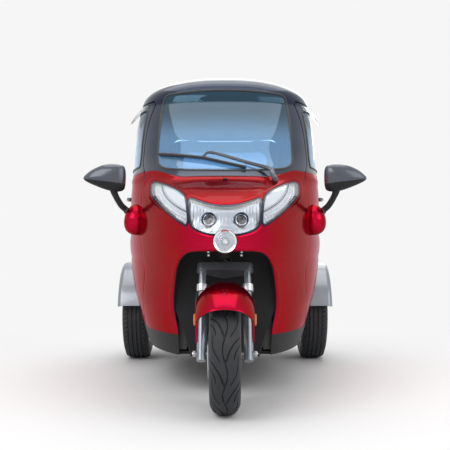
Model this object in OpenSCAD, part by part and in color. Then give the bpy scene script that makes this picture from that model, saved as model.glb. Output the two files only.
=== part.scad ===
/* [Overall] */
// Width of the body at its widest
body_w = 1018; // [960:2:1080]
// Height of the roof above the ground
body_h = 1545; // [1500:5:1620]
// Distance between the front axle and the rear axle
wheelbase = 1500; // [1460:5:1560]
// Distance between the middles of the rear tyres
track = 1008; // [980:2:1040]
// Distance from the foremost point of the front tyre to the rear bumper
overall_len = 2180; // [2140:5:2240]

/* [Wheels] */
// Outer diameter of the front tyre
front_tyre_d = 472; // [460:2:484]
// Width of the front tyre
front_tyre_w = 120; // [110:1:124]
// Outer diameter of a rear tyre
rear_tyre_d = 508; // [490:2:520]
// Width of a rear tyre
rear_tyre_w = 145; // [135:1:150]
// Diameter of the bead seats of all three rims
rim_d = 305; // [290:1:320]
// Number of spokes of a rim
spokes = 5; // [3:1:8]
// Thickness of the tyre's side wall
tyre_wall = 11; // [8:1:16]

/* [Steering] */
// Angle of the steering axis from upright
rake = 26; // [22:1:29]
// Distance of the fork tubes ahead of the steering axis
fork_offset = 40; // [30:1:50]
// Distance from the middle of the wheel to each fork tube
fork_x = 93; // [90:0.5:98]
// Diameter of the upper fork tubes
fork_upper_d = 30; // [26:1:32]
// Diameter of the lower fork legs
fork_lower_d = 37; // [34:1:40]
// Length from the axle to the yoke along the fork
fork_len = 385; // [370:1:400]
// Diameter of the steering column
column_d = 34; // [28:1:40]
// Width of the handlebar between the ends of its grips
bar_w = 490; // [450:10:500]

/* [Body panels] */
// Thickness of an outer body panel
panel_t = 8; // [6:0.5:12]
// Thickness of a door from its outer skin to its trim
door_t = 38; // [30:1:44]
// Thickness of the glass
glass_t = 5; // [4:0.5:7]
// Gap round the doors and the tailgate
shut_gap = 7; // [6:0.5:9]
// Height of the lower edge of the painted body
body_low_z = 272; // [262:1:285]
// Height of the belt line at the sides
belt_z = 1012; // [1000:1:1025]
// Height of the lower edge of the black sill
sill_z = 178; // [170:1:200]

/* [Lamps] */
// Diameter of the round lamp in the nose
nose_lamp_d = 92; // [84:1:98]
// Height of the round lamp
nose_lamp_z = 679; // [674:1:684]

/* [Seats] */
// Width of the driver's seat
seat_w = 430; // [380:5:480]
// Height of the driver's seat above the ground
seat_z = 620; // [590:5:640]
// Width of the rear bench
bench_w = 700; // [640:5:740]

/* [Hidden] */

// Directions along Y: the front faces -Y
front_axle_y = -overall_len / 2 + front_tyre_d / 2;
rear_axle_y = front_axle_y + wheelbase;
front_axle_z = front_tyre_d / 2;
rear_axle_z = rear_tyre_d / 2;
tail_y = overall_len / 2;
eps = 0.1;
far = 3000;

// The body surface. Each height has a half section at the nose and one at the tail, which meet at widest_y
// as |x/half|^p + |y/length|^q = 1.
widest_y = front_axle_y + 1154;
gutter_z = 1380;
dome_n = 2.2;
rear_p = 2.8;
rear_q = 3.0;
Z = 0;
NOSE = 1;
TAIL = 2;
TUCK = 3;
P = 4;
Q = 5;
// Height, nose behind the front axle, tail behind the rear axle, tuck of the side from the widest half
// width, and the front section's two exponents
SECTIONS = [
    [178, 254, 314, 114, 2.0, 2.3],
    [267, 242, 339, 89, 2.0, 2.5],
    [350, 214, 354, 64, 2.0, 2.3],
    [420, 174, 364, 38, 2.0, 2.0],
    [500, 109, 374, 19, 2.0, 1.7],
    [600, 14, 384, 5, 2.0, 1.5],
    [680, -36, 389, 0, 2.0, 1.45],
    [750, -26, 389, 9, 2.0, 1.5],
    [820, 34, 389, 11, 2.0, 1.7],
    [890, 179, 387, 14, 2.1, 2.0],
    [950, 339, 384, 18, 2.2, 2.2],
    [1030, 464, 374, 22, 2.4, 2.2],
    [1200, 639, 314, 31, 2.5, 2.2],
    [1310, 754, 249, 43, 2.5, 2.2],
    [1380, 826, 194, 62, 2.5, 2.2]
];
LAST = len(SECTIONS) - 1;

function clamp(v, lo, hi) = max(lo, min(hi, v));
function mix(a, b, t) = a + (b - a) * t;
function ease(t) = let (c = clamp(t, 0, 1)) c * c * (3 - 2 * c);

// Slope of a column at a row, as the mean of the slopes on both sides weighted by the other's length
function chord(c, i) = (SECTIONS[i + 1][c] - SECTIONS[i][c]) / (SECTIONS[i + 1][Z] - SECTIONS[i][Z]);
function rise(i) = SECTIONS[i + 1][Z] - SECTIONS[i][Z];
function slope(c, i) = i == 0 ? chord(c, 0)
    : i == LAST ? chord(c, LAST - 1)
    : (chord(c, i - 1) * rise(i) + chord(c, i) * rise(i - 1)) / (rise(i) + rise(i - 1));
function row_under(z, i = 0) = i >= LAST - 1 || z < SECTIONS[i + 1][Z] ? i : row_under(z, i + 1);

// Value of a column at height z, by a cubic between the rows
function column(c, z) =
    let (
        h = clamp(z, SECTIONS[0][Z], SECTIONS[LAST][Z]),
        i = row_under(h),
        t = (h - SECTIONS[i][Z]) / rise(i)
    )
    SECTIONS[i][c] * (2 * pow(t, 3) - 3 * pow(t, 2) + 1)
    + slope(c, i) * rise(i) * (pow(t, 3) - 2 * pow(t, 2) + t)
    + SECTIONS[i + 1][c] * (3 * pow(t, 2) - 2 * pow(t, 3))
    + slope(c, i + 1) * rise(i) * (pow(t, 3) - pow(t, 2));

// Share of the plan that is left at height z of the domed roof, for a surface set in by d
function shrink(z, d = 0) =
    let (u = clamp((z - gutter_z) / (body_h - d - gutter_z), 0, 1))
    pow(1 - pow(u, dome_n), 1 / dome_n);
function nose_len(z, d = 0) = shrink(z, d) * (widest_y - d - front_axle_y - column(NOSE, z));
function tail_len(z, d = 0) = shrink(z, d) * (rear_axle_y + column(TAIL, z) - widest_y - d);
function half_w(z, d = 0) = shrink(z, d) * (body_w / 2 - column(TUCK, z) - d);

// Point of the surface at height z, set in by d. The angle a is 0 at the nose, 90 at the vehicle's left and 180
// at the tail.
function skin(z, a, d = 0) =
    let (
        s = abs(sin(a)),
        c = abs(cos(a)),
        ahead = cos(a) >= 0,
        p = ahead ? column(P, z) : rear_p,
        q = ahead ? column(Q, z) : rear_q,
        reach = ahead ? -nose_len(z, d) : tail_len(z, d)
    )
    [sign(sin(a)) * half_w(z, d) * pow(s, 2 / p), widest_y + reach * pow(c, 2 / q), z];

// Angle at which the surface at height z passes y
function angle_at(z, y, d = 0) = y < widest_y
    ? acos(pow(clamp((widest_y - y) / nose_len(z, d), 0, 1), column(Q, z) / 2))
    : 180 - acos(pow(clamp((y - widest_y) / tail_len(z, d), 0, 1), rear_q / 2));
// Width of the surface at height z and y
function side_x(z, y, d = 0) = skin(z, angle_at(z, y, d), d)[0];
// Y of the front surface at height z and x
function front_y(z, x, d = 0) =
    widest_y - nose_len(z, d)
    * pow(1 - pow(clamp(abs(x) / half_w(z, d), 0, 1), column(P, z)), 1 / column(Q, z));

// Seams of the body
door_front_y = front_axle_y + 480;
door_rear_y = rear_axle_y - 320;
roof_front_z = body_h - 90;
roof_side_z = gutter_z + 18;
screen_low_z = 968;
door_low_z = body_low_z + shut_gap;
roof_joint = 1;

// The seam ahead of the door leans back with the windscreen's pillar above the belt
function seam_y(z) = z < belt_z - 190
    ? door_front_y + 220 * pow(clamp((560 - z) / 280, 0, 1), 1.1)
    : door_front_y + 224 * ease((z - belt_z + 190) / 260) + 0.6 * max(0, z - belt_z);
// The seam behind the door rises upright and leans forward a little at the bottom
// Gap along Y that leaves the shut gap square to a leaning seam
function seam_gap(z) = shut_gap * sqrt(1 + pow((seam_y(z + 5) - seam_y(z - 5)) / 10, 2));
function door_back_y(z) = door_rear_y - 40 * pow(clamp((620 - z) / 290, 0, 1), 2);
function roof_z(a) = mix(roof_front_z, roof_side_z, ease((abs(a) - 8) / 55))
    + (roof_front_z - roof_side_z) * 0.7 * ease((abs(a) - 130) / 50);
function screen_z(a) = mix(screen_low_z, belt_z, ease((abs(a) - 19) / 22));

// Angle of a panel's edge column at height z, for the share u from one seam (-1) to the other (1)
function front_angle(u, z, d = 0) = u * angle_at(z, seam_y(z), d);
function rear_angle(u, z, d = 0) = let (a = angle_at(z, door_back_y(z), d)) mix(a, 360 - a, u);
function fold(a) = a > 180 ? 360 - a : a;
// Heights where such a column meets the windscreen's base and the roof, closing in on its own angle
function base_at(u, z = 1000, n = 4) = n == 0 ? z : base_at(u, screen_z(front_angle(u, z)), n - 1);
function front_top_at(u, z = 1430, n = 4) = n == 0 ? z : front_top_at(u, roof_z(front_angle(u, z)), n - 1);
function rear_top_at(u, z = 1400, n = 4) = n == 0 ? z : rear_top_at(u, roof_z(fold(rear_angle(u, z))), n - 1);

// A panel of the body surface between two edges given as angles per height and two heights per angle,
// as one closed solid from the outer skin to the skin set in by t
module panel(points_out, points_in) {
    rows = len(points_out);
    cols = len(points_out[0]);
    count = rows * cols;
    function at(side, i, j) = side * count + i * cols + j;
    polyhedron(
        points = [for (side = [points_out, points_in]) for (row = side) for (p = row) p],
        faces = [
            for (i = [0:rows - 2]) for (j = [0:cols - 2])
                each [[at(0, i, j), at(0, i + 1, j), at(0, i + 1, j + 1)],
                      [at(0, i, j), at(0, i + 1, j + 1), at(0, i, j + 1)],
                      [at(1, i, j), at(1, i + 1, j + 1), at(1, i + 1, j)],
                      [at(1, i, j), at(1, i, j + 1), at(1, i + 1, j + 1)]],
            for (i = [0:rows - 2])
                each [[at(0, i, 0), at(1, i, 0), at(1, i + 1, 0)],
                      [at(0, i, 0), at(1, i + 1, 0), at(0, i + 1, 0)],
                      [at(0, i, cols - 1), at(1, i + 1, cols - 1), at(1, i, cols - 1)],
                      [at(0, i, cols - 1), at(0, i + 1, cols - 1), at(1, i + 1, cols - 1)]],
            for (j = [0:cols - 2])
                each [[at(0, 0, j), at(1, 0, j + 1), at(1, 0, j)],
                      [at(0, 0, j), at(0, 0, j + 1), at(1, 0, j + 1)],
                      [at(0, rows - 1, j), at(1, rows - 1, j), at(1, rows - 1, j + 1)],
                      [at(0, rows - 1, j), at(1, rows - 1, j + 1), at(0, rows - 1, j + 1)]]
        ]
    );
}

// Grid of the left-hand door between heights z0 and z1, set in by d
function door_grid(z0, z1, rows, cols, d) = [
    for (i = [0:rows])
        let (z = mix(z0, z1, i / rows), y0 = seam_y(z) + seam_gap(z), y1 = door_back_y(z) - shut_gap)
        [for (j = [0:cols]) let (y = mix(y0, y1, j / cols)) [side_x(z, y, d), y, z]]
];
module door_panel(z0, z1, rows, cols, d0, d1) {
    panel(door_grid(z0, z1, rows, cols, d0), door_grid(z0, z1, rows, cols, d1));
}

module both_sides() {
    children();
    mirror([1, 0, 0]) children();
}

// Places a flat outline drawn in X and Z across the vehicle, from y0 to y1
module from_front(y0, y1) {
    translate([0, y1, 0]) rotate([90, 0, 0]) linear_extrude(y1 - y0) children();
}
// Places a flat outline drawn in Y and Z along X, from x0 to x1
module from_side(x0, x1) {
    translate([x0, 0, 0]) rotate([90, 0, 90]) linear_extrude(x1 - x0) children();
}
module tube(from, to, d) {
    v = to - from;
    length = norm(v);
    translate(from) rotate([0, acos(v[2] / length), atan2(v[1], v[0])]) cylinder(h = length, d = d, $fn = 32);
}
// A slim rod with rounded ends
module rod(from, to, d) {
    hull() {
        translate(from) sphere(d = d, $fn = 8);
        translate(to) sphere(d = d, $fn = 8);
    }
}
// A straight bar of square section along X, Y or Z
module bar(from, to, w, h = 0) {
    v = to - from;
    tall = h == 0 ? w : h;
    size = [v[0] == 0 ? w : v[0], v[1] == 0 ? w : v[1], v[2] == 0 ? tall : v[2]];
    translate([from[0] - (v[0] == 0 ? w / 2 : 0), from[1] - (v[1] == 0 ? w / 2 : 0), from[2] - (v[2] == 0 ? tall / 2 : 0)])
        cube(size);
}
module rounded_rect(w, h, r) {
    hull() for (x = [-1, 1], y = [-1, 1]) translate([x * (w / 2 - r), y * (h / 2 - r)]) circle(r, $fn = 32);
}
// Points of a circular arc about c
function arc(c, r, a0, a1, n) = [for (i = [0:n]) c + r * [cos(mix(a0, a1, i / n)), sin(mix(a0, a1, i / n))]];

// Wheel arch of the nose, seen from the front
arch_top_z = 640;
arch_top_x = 146;
arch_mid_x = 224;
arch_low_x = 203;
module arch_outline(grow = 0) {
    right = [
        [arch_low_x + grow, body_low_z - 200],
        [arch_low_x + grow, body_low_z],
        [arch_mid_x + grow, 380],
        [arch_mid_x - 2 + grow, 450],
        [arch_mid_x - 20 + grow, 560],
        [arch_top_x + 38 + grow, 608 + grow * 0.5],
        [arch_top_x, arch_top_z + grow]
    ];
    polygon(concat(right, [for (i = [len(right) - 1:-1:0]) [-right[i][0], right[i][1]]]));
}

// Lamp outlines, seen from the front, for the vehicle's left side
HEAD_HALF = [[0, 822], [55, 828], [110, 846], [156, 868], [150, 790], [140, 735], [95, 712], [42, 700], [0, 712]];
SIDE_LAMP = [[160, 868], [205, 905], [265, 935], [341, 963], [337, 890], [300, 850], [245, 800], [190, 757], [144, 732]];
function mirrored(points) = concat(points, [for (i = [len(points) - 1:-1:0]) if (points[i][0] > 0) [-points[i][0], points[i][1]]]);

// Bodywork

// Front panel between the doors, from the lower edge to the windscreen
COWL_ROWS = 12;
COWL_COLS = 24;
function cowl_grid(d) = [
    for (i = [0:COWL_ROWS]) [
        for (j = [0:COWL_COLS])
            let (
                u = 2 * j / COWL_COLS - 1,
                z = mix(body_low_z, base_at(u), i / COWL_ROWS)
            )
            skin(z, front_angle(u, z, d), d)
    ]
];
module nose_cowl() {
    color("firebrick") difference() {
        panel(cowl_grid(0), cowl_grid(panel_t));
        from_front(-far, door_front_y + 300) arch_outline();
        from_front(-far, front_axle_y + 260) polygon(mirrored(HEAD_HALF));
        both_sides() from_front(-far, door_front_y + 300) polygon(SIDE_LAMP);
        nose_lamp_bore(0);
    }
}
module nose_lamp_bore(grow) {
    translate([0, -far, nose_lamp_z]) rotate([-90, 0, 0]) cylinder(h = far - 600, d = nose_lamp_d + 2 * grow, $fn = 64);
}

// Stretch of the body between two heights and two angles, from the skin set in by d0 to the skin set in by d1
function zone_grid(z0, z1, a0, a1, rows, cols, d) = [
    for (i = [0:rows]) [for (j = [0:cols]) skin(mix(z0, z1, i / rows), mix(a0, a1, j / cols), d)]
];
module zone(z0, z1, a0, a1, rows, cols, d0, d1) {
    panel(zone_grid(z0, z1, a0, a1, rows, cols, d0), zone_grid(z0, z1, a0, a1, rows, cols, d1));
}
module headlamp() {
    color("gainsboro") intersection() {
        zone(690, 880, -30, 30, 8, 16, 1, 60);
        difference() {
            from_front(-far, 0) polygon(mirrored(HEAD_HALF));
            nose_lamp_bore(0);
        }
    }
}
module side_lamps() {
    color("white") both_sides() intersection() {
        zone(728, 968, 8, 75, 8, 8, 1, 45);
        from_front(-far, door_front_y + 86) polygon(SIDE_LAMP);
    }
}
module nose_lamp() {
    y = front_y(nose_lamp_z, 0);
    color("silver") translate([0, y - 6, nose_lamp_z]) rotate([-90, 0, 0]) rotate_extrude($fn = 96)
        polygon(concat(
            [[0, 50], [nose_lamp_d / 2, 50], [nose_lamp_d / 2, 4]],
            arc([nose_lamp_d / 2 - 8, 6], 6, -10, -90, 5),
            [[nose_lamp_d / 2 - 12, 8], [14, 3], [0, 2]]
        ));
}

// Clear opening of the windscreen, seen from the front
SCREEN_HALF = [
    [0, 996], [150, 1000], [262, 1012], [298, 1024], [318, 1046], [324, 1080],
    [322, 1300], [314, 1384], [300, 1404], [275, 1415], [0, 1442]
];
pillar_t = 26;
function screen_grid(rows, cols, d) = [
    for (i = [0:rows]) [
        for (j = [0:cols])
            let (
                u = 2 * j / cols - 1,
                z = mix(base_at(u) + roof_joint, front_top_at(u) - roof_joint, i / rows)
            )
            skin(z, front_angle(u, z, d), d)
    ]
];
// Pillars and border that carry the windscreen
module screen_frame() {
    color("black") difference() {
        panel(screen_grid(8, 20, 0), screen_grid(8, 20, pillar_t));
        from_front(-far, widest_y) polygon(mirrored(SCREEN_HALF));
    }
}
module windscreen() {
    color("lightblue", 0.5) intersection() {
        panel(screen_grid(6, 14, 1), screen_grid(6, 14, 1 + glass_t));
        from_front(-far, widest_y) polygon(mirrored(SCREEN_HALF));
    }
}
wiper_x = 224;
wiper_z = 955;
wiper_lift = 34;
// Point over the windscreen at x and z, lifted off the glass
function on_screen(x, z, lift) = [x, front_y(z, x) - lift, z];
module wiper() {
    hub = on_screen(wiper_x, wiper_z, 16);
    elbow = on_screen(wiper_x - 22, wiper_z + 52, wiper_lift + 8);
    knee = on_screen(-60, 1086, wiper_lift + 8);
    clip = on_screen(-100, 1066, wiper_lift);
    color("black") {
        translate(hub) rotate([20, 0, 0]) cylinder(h = 26, d = 22, $fn = 40);
        rod(hub + [0, -5, 16], elbow, 12);
        rod(elbow, knee, 10);
        rod(knee, clip, 9);
        rod(on_screen(-315, 1094, wiper_lift - 8), clip, 10);
        rod(clip, on_screen(95, 1012, wiper_lift - 8), 10);
    }
}

// Domed roof down to the tops of the doors, the windscreen and the rear cabin
ROOF_COLS = 40;
ROOF_ROWS = 6;
function dome_z(share, d) = gutter_z + (body_h - d - gutter_z) * pow(1 - pow(share, dome_n), 1 / dome_n);
function roof_ring(i, d) = [
    for (j = [0:ROOF_COLS - 1])
        let (
            a = 360 * j / ROOF_COLS,
            edge = shrink(roof_z(fold(a)), d)
        )
        skin(dome_z(edge * (1 - i / ROOF_ROWS), d), a, d)
];
module roof() {
    rings_out = [for (i = [0:ROOF_ROWS - 1]) roof_ring(i, 0)];
    rings_in = [for (i = [0:ROOF_ROWS - 1]) roof_ring(i, panel_t + 6)];
    count = ROOF_ROWS * ROOF_COLS;
    function at(side, i, j) = side * count + i * ROOF_COLS + j % ROOF_COLS;
    last = ROOF_ROWS - 1;
    color("black") polyhedron(
        points = concat(
            [for (side = [rings_out, rings_in]) for (ring = side) for (p = ring) p],
            [[0, widest_y, body_h], [0, widest_y, body_h - panel_t - 6]]
        ),
        faces = [
            for (i = [0:last - 1]) for (j = [0:ROOF_COLS - 1])
                each [[at(0, i, j), at(0, i + 1, j), at(0, i + 1, j + 1)],
                      [at(0, i, j), at(0, i + 1, j + 1), at(0, i, j + 1)],
                      [at(1, i, j), at(1, i + 1, j + 1), at(1, i + 1, j)],
                      [at(1, i, j), at(1, i, j + 1), at(1, i + 1, j + 1)]],
            for (j = [0:ROOF_COLS - 1])
                each [[at(0, last, j), 2 * count, at(0, last, j + 1)],
                      [at(1, last, j), at(1, last, j + 1), 2 * count + 1],
                      [at(0, 0, j), at(1, 0, j + 1), at(1, 0, j)],
                      [at(0, 0, j), at(0, 0, j + 1), at(1, 0, j + 1)]]
        ]
    );
}

// Rear body between the doors, round the tail
rear_arch_r = 292;
function rear_grid(z0, top, rows, cols, d) = [
    for (i = [0:rows]) [
        for (j = [0:cols])
            let (
                u = j / cols,
                z = mix(z0, top ? rear_top_at(u) - roof_joint : belt_z, i / rows)
            )
            skin(z, rear_angle(u, z, d), d)
    ]
];
// Rear lid and its window, seen from behind
lid_w = 700;
lid_low_z = 560;
lid_top_z = 1300;
module lid_outline(gap) {
    translate([0, (lid_low_z + lid_top_z) / 2]) rounded_rect(lid_w - 2 * gap, lid_top_z - lid_low_z - 2 * gap, 70);
}
module rear_window_outline() {
    translate([0, 1115]) rounded_rect(560, 250, 70);
}
module rear_quarters() {
    color("firebrick") difference() {
        panel(rear_grid(body_low_z, false, 8, 32, 0), rear_grid(body_low_z, false, 8, 32, panel_t));
        from_front(rear_axle_y + 150, far) lid_outline(0);
        translate([-far, rear_axle_y, rear_axle_z]) rotate([0, 90, 0]) cylinder(h = 2 * far, r = rear_arch_r, $fn = 96);
    }
}
QUARTER_WINDOW = [
    [362, 1052], [380, 1040], [660, 1040], [690, 1052], [700, 1078], [672, 1190], [628, 1290],
    [600, 1326], [570, 1338], [384, 1338], [366, 1328], [358, 1310]
];
module rear_cabin() {
    color("black") difference() {
        panel(rear_grid(belt_z, true, 7, 32, 0), rear_grid(belt_z, true, 7, 32, pillar_t));
        from_front(rear_axle_y + 40, far) lid_outline(0);
        from_side(-far, far) polygon(QUARTER_WINDOW);
    }
}
module quarter_glass() {
    color("lightblue", 0.5) both_sides() intersection() {
        zone(1030, 1345, 92, 140, 5, 8, 2, 2 + glass_t);
        from_side(0, far) polygon(QUARTER_WINDOW);
    }
}
lid_t = 26;
function lid_grid(d) = [
    for (i = [0:10]) let (z = mix(lid_low_z - 20, lid_top_z + 20, i / 10))
        [for (j = [-6:6]) skin(z, 180 + j * 7.5, d)]
];
module tailgate() {
    color("firebrick") difference() {
        intersection() {
            panel(lid_grid(0), lid_grid(lid_t));
            from_front(rear_axle_y + 40, far) lid_outline(shut_gap);
        }
        from_front(0, far) rear_window_outline();
    }
}
module rear_window() {
    color("lightblue", 0.5) intersection() {
        zone(980, 1250, 140, 220, 4, 12, 2, 2 + glass_t);
        from_front(rear_axle_y + 40, far) rear_window_outline();
    }
}
TAIL_LAMP = [[372, 640], [428, 660], [440, 720], [436, 850], [424, 900], [380, 905], [366, 880], [366, 660]];
module tail_lamps() {
    color("darkred") both_sides() intersection() {
        zone(630, 915, 110, 160, 6, 8, -12, -1.5);
        from_front(rear_axle_y + 100, far) polygon(TAIL_LAMP);
    }
}
bumper_z = 360;
// Holes for a number plate
plate_hole_r = 3.5;
bumper_half = 38;
bumper_flat = 62;
bumper_edge = 90;
bumper_t = tail_y - widest_y - tail_len(bumper_z + bumper_flat, 0);
function bumper_grid(d_mid, d_edge) = [
    for (row = [[-bumper_edge, d_edge], [-bumper_flat, d_mid], [bumper_flat, d_mid], [bumper_edge, d_edge]]) [
        for (j = [-10:10])
            let (a = 180 + bumper_half * j / 10)
                skin(bumper_z + row[0], a, -1.5) + skin(bumper_z, a, -row[1]) - skin(bumper_z, a, 0)
    ]
];
module rear_bumper() {
    color("dimgray") difference() {
        panel(bumper_grid(bumper_t, bumper_t * 0.45), bumper_grid(0, 0));
        from_front(0, far) translate([0, bumper_z]) for (x = [-70, 70]) translate([x, 0]) circle(r = plate_hole_r, $fn = 32);
    }
}
fender_out_x = 594;
module rear_fenders() {
    r = rear_arch_r;
    both_sides() color("silver") difference() {
        intersection() {
            translate([0, rear_axle_y, rear_axle_z]) rotate([0, 90, 0]) rotate_extrude($fn = 128)
                polygon(concat(
                    [[r - 4, 380], [r + 12, 380]],
                    [[r + 10, fender_out_x - 60]],
                    arc([r - 18, fender_out_x - 26], 26, 0, 90, 6),
                    [[r - 22, fender_out_x], [r - 22, fender_out_x - 6]],
                    arc([r - 18, fender_out_x - 26], 20, 90, 0, 5),
                    [[r - 4, fender_out_x - 60]]
                ));
            translate([370, rear_axle_y - 400, rear_axle_z + 70]) cube([300, 800, 400]);
        }
        zone(300, 580, 88, 166, 4, 10, -2.5, 130);
    }
}

// Doors
door_window_low = belt_z + 26;
door_split = belt_z;
DOOR_ROWS = 12;
DOOR_COLS = 8;
function door_row_z(i) = mix(door_low_z, door_split, i / DOOR_ROWS);
DOOR_WINDOW = [
    [-92, 1050], [-78, 1040], [288, 1040], [302, 1052], [302, 1330], [290, 1350], [270, 1358],
    [112, 1358], [92, 1346], [60, 1300]
];
module door_window_outline() {
    polygon(DOOR_WINDOW);
}
module door_panel_part() {
    color("firebrick") door_panel(door_low_z, door_split, DOOR_ROWS, DOOR_COLS, 0, door_t);
}
frame_t = 24;
module door_frame_part() {
    color("black") difference() {
        door_panel(door_split, roof_side_z - shut_gap, 6, 8, 0, frame_t);
        from_side(0, far) door_window_outline();
    }
}
module door_glass_part() {
    color("lightblue", 0.5) intersection() {
        door_panel(door_split, roof_side_z - shut_gap, 5, 8, 3, 3 + glass_t);
        from_side(0, far) door_window_outline();
    }
}
mirror_y = front_axle_y + 556;
mirror_z = 974;
mirror_x = 565;
module ball(p, d) {
    translate(p) sphere(d = d, $fn = 8);
}
// Mirror head on a stalk that rises from an oval pod on the door
module mirror_part() {
    foot_x = side_x(780, mirror_y + 40);
    color("dimgray") difference() {
      union() {
        hull() {
            ball([mirror_x - 66, mirror_y + 4, mirror_z + 26], 78);
            ball([mirror_x - 54, mirror_y + 4, mirror_z - 30], 66);
            ball([mirror_x + 50, mirror_y + 4, mirror_z + 12], 62);
            ball([mirror_x + 78, mirror_y + 8, mirror_z - 8], 34);
        }
        hull() {
            ball([mirror_x - 60, mirror_y, mirror_z - 40], 36);
            ball([foot_x + 32, mirror_y + 22, 850], 26);
        }
        hull() {
            ball([foot_x + 32, mirror_y + 22, 850], 26);
            ball([foot_x + 16, mirror_y + 40, 806], 30);
        }
        hull() {
            ball([foot_x + 6, mirror_y, 790], 40);
            ball([foot_x + 8, mirror_y + 80, 778], 52);
            ball([foot_x + 10, mirror_y + 40, 806], 40);
            ball([foot_x + 6, mirror_y + 60, 742], 36);
        }
      }
      // The pod fits the door's outer skin
      panel(door_grid(door_row_z(6), door_row_z(10), 4, DOOR_COLS, -0.2), door_grid(door_row_z(6), door_row_z(10), 4, DOOR_COLS, 60));
    }
}
visor_out = 34;
// Clear rain visor along the top of the door, held by its upper edge
module visor_part() {
    rows = 4;
    cols = 10;
    function grid(d) = [for (i = [0:rows]) [for (j = [0:cols])
        let (
            y = mix(door_front_y + 490, door_rear_y - 10, j / cols),
            z = mix(roof_side_z - shut_gap - 8, 1296 + 70 * pow(abs(2 * j / cols - 1), 2.5), 1 - i / rows),
            bulge = 4.3 + visor_out * sin(90 * (1 - i / rows)) * (1 - pow(abs(2 * j / cols - 1), 4))
        )
        [side_x(z, y) + bulge - d, y, z]]];
    color("white", 0.4) panel(grid(-3), grid(0));
}

// Black underbody: sill that follows the body's lower edge, floor, and tubs over the rear wheels
wheel_tub_x = track / 2 - rear_tyre_w / 2 - 14;
function sill_ring(z, d) = [for (j = [0:47]) skin(z, 7.5 * j, d)];
module floor_slab(z0, z1, d) {
    hull() for (z = [z0, z1]) translate([0, 0, z]) linear_extrude(eps) polygon([for (p = sill_ring(z, d)) [p[0], p[1]]]);
}
trunk_z = 470;
trunk_y = rear_axle_y - 190;
floor_t = 6;
axle_room_r = 50;
module floor_pan() {
    color("dimgray") union() {
        difference() {
            floor_slab(sill_z, body_low_z - 0.3, 3);
            floor_slab(sill_z + 14, body_low_z + 40, 11);
            from_front(-far, door_front_y - 90) arch_outline();
            translate([-far, trunk_y, sill_z - 1]) cube([2 * far, 370, 16]);
            both_sides() rear_arch_cut(rear_arch_r - 8, wheel_tub_x - 40);
            both_sides() rear_arch_cut(axle_room_r, wheel_tub_x - 120);
        }
        // Tubs over the rear wheels
        both_sides() intersection() {
            difference() {
                rear_arch_cut(rear_arch_r, wheel_tub_x - floor_t);
                rear_arch_cut(rear_arch_r - 8, wheel_tub_x);
                rear_arch_cut(axle_room_r, 0);
            }
            body_core(sill_z, 640, panel_t + 0.5);
        }
        // Raised floor behind the driver, under the bench
        intersection() {
            difference() {
            from_side(1 - wheel_tub_x + floor_t, wheel_tub_x - floor_t - 1) polygon([
                [trunk_y, sill_z + 4], [trunk_y + floor_t, sill_z + 4], [trunk_y + floor_t, trunk_z],
                [tail_y, trunk_z], [tail_y, trunk_z + floor_t], [trunk_y, trunk_z + floor_t]
            ]);
            both_sides() translate([rail_x - 24, trunk_y - 5, sill_z]) cube([48, 20, 260]);
            }
            body_core(sill_z, 640, panel_t + 0.5);
        }
    }
}
module rear_arch_cut(r, from_x) {
    translate([from_x, rear_axle_y, rear_axle_z]) rotate([0, 90, 0]) cylinder(h = far, r = r, $fn = 64);
}
wheelhouse_back_y = front_axle_y + 322;
// Solid inside of the body between two heights, set in by d
module body_core(z0, z1, d) {
    rows = 8;
    cols = 32;
    points = [for (i = [0:rows]) for (j = [0:cols - 1]) skin(mix(z0, z1, i / rows), 360 * j / cols, d)];
    polyhedron(points = points, faces = [
        [for (j = [0:cols - 1]) j],
        [for (j = [cols - 1:-1:0]) rows * cols + j],
        for (i = [0:rows - 1]) for (j = [0:cols - 1])
            let (k = (j + 1) % cols)
            each [[i * cols + j, (i + 1) * cols + j, (i + 1) * cols + k],
                  [i * cols + j, (i + 1) * cols + k, i * cols + k]]
    ]);
}
liner_t = 5;
// Room between the liner and the painted panel's inner face
wheelhouse_gap = 2;
module wheelhouse() {
    color("black") intersection() {
        body_core(sill_z, arch_top_z + 30, panel_t + wheelhouse_gap);
        difference() {
            from_front(-far, wheelhouse_back_y + liner_t) arch_outline(liner_t);
            from_front(-2 * far, wheelhouse_back_y) arch_outline(0);
            nose_lamp_bore(2);
            translate(fork_point(fork_len, fork_offset)) rotate([-rake, 0, 0])
                cylinder(h = far, d = column_d + 22 + 16, $fn = 64);
        }
    }
}

// Frame of square tube: two rails, cross members, the steering head and its struts
rail_x = 190;
rail_z = 215;
rail_w = 40;
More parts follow.
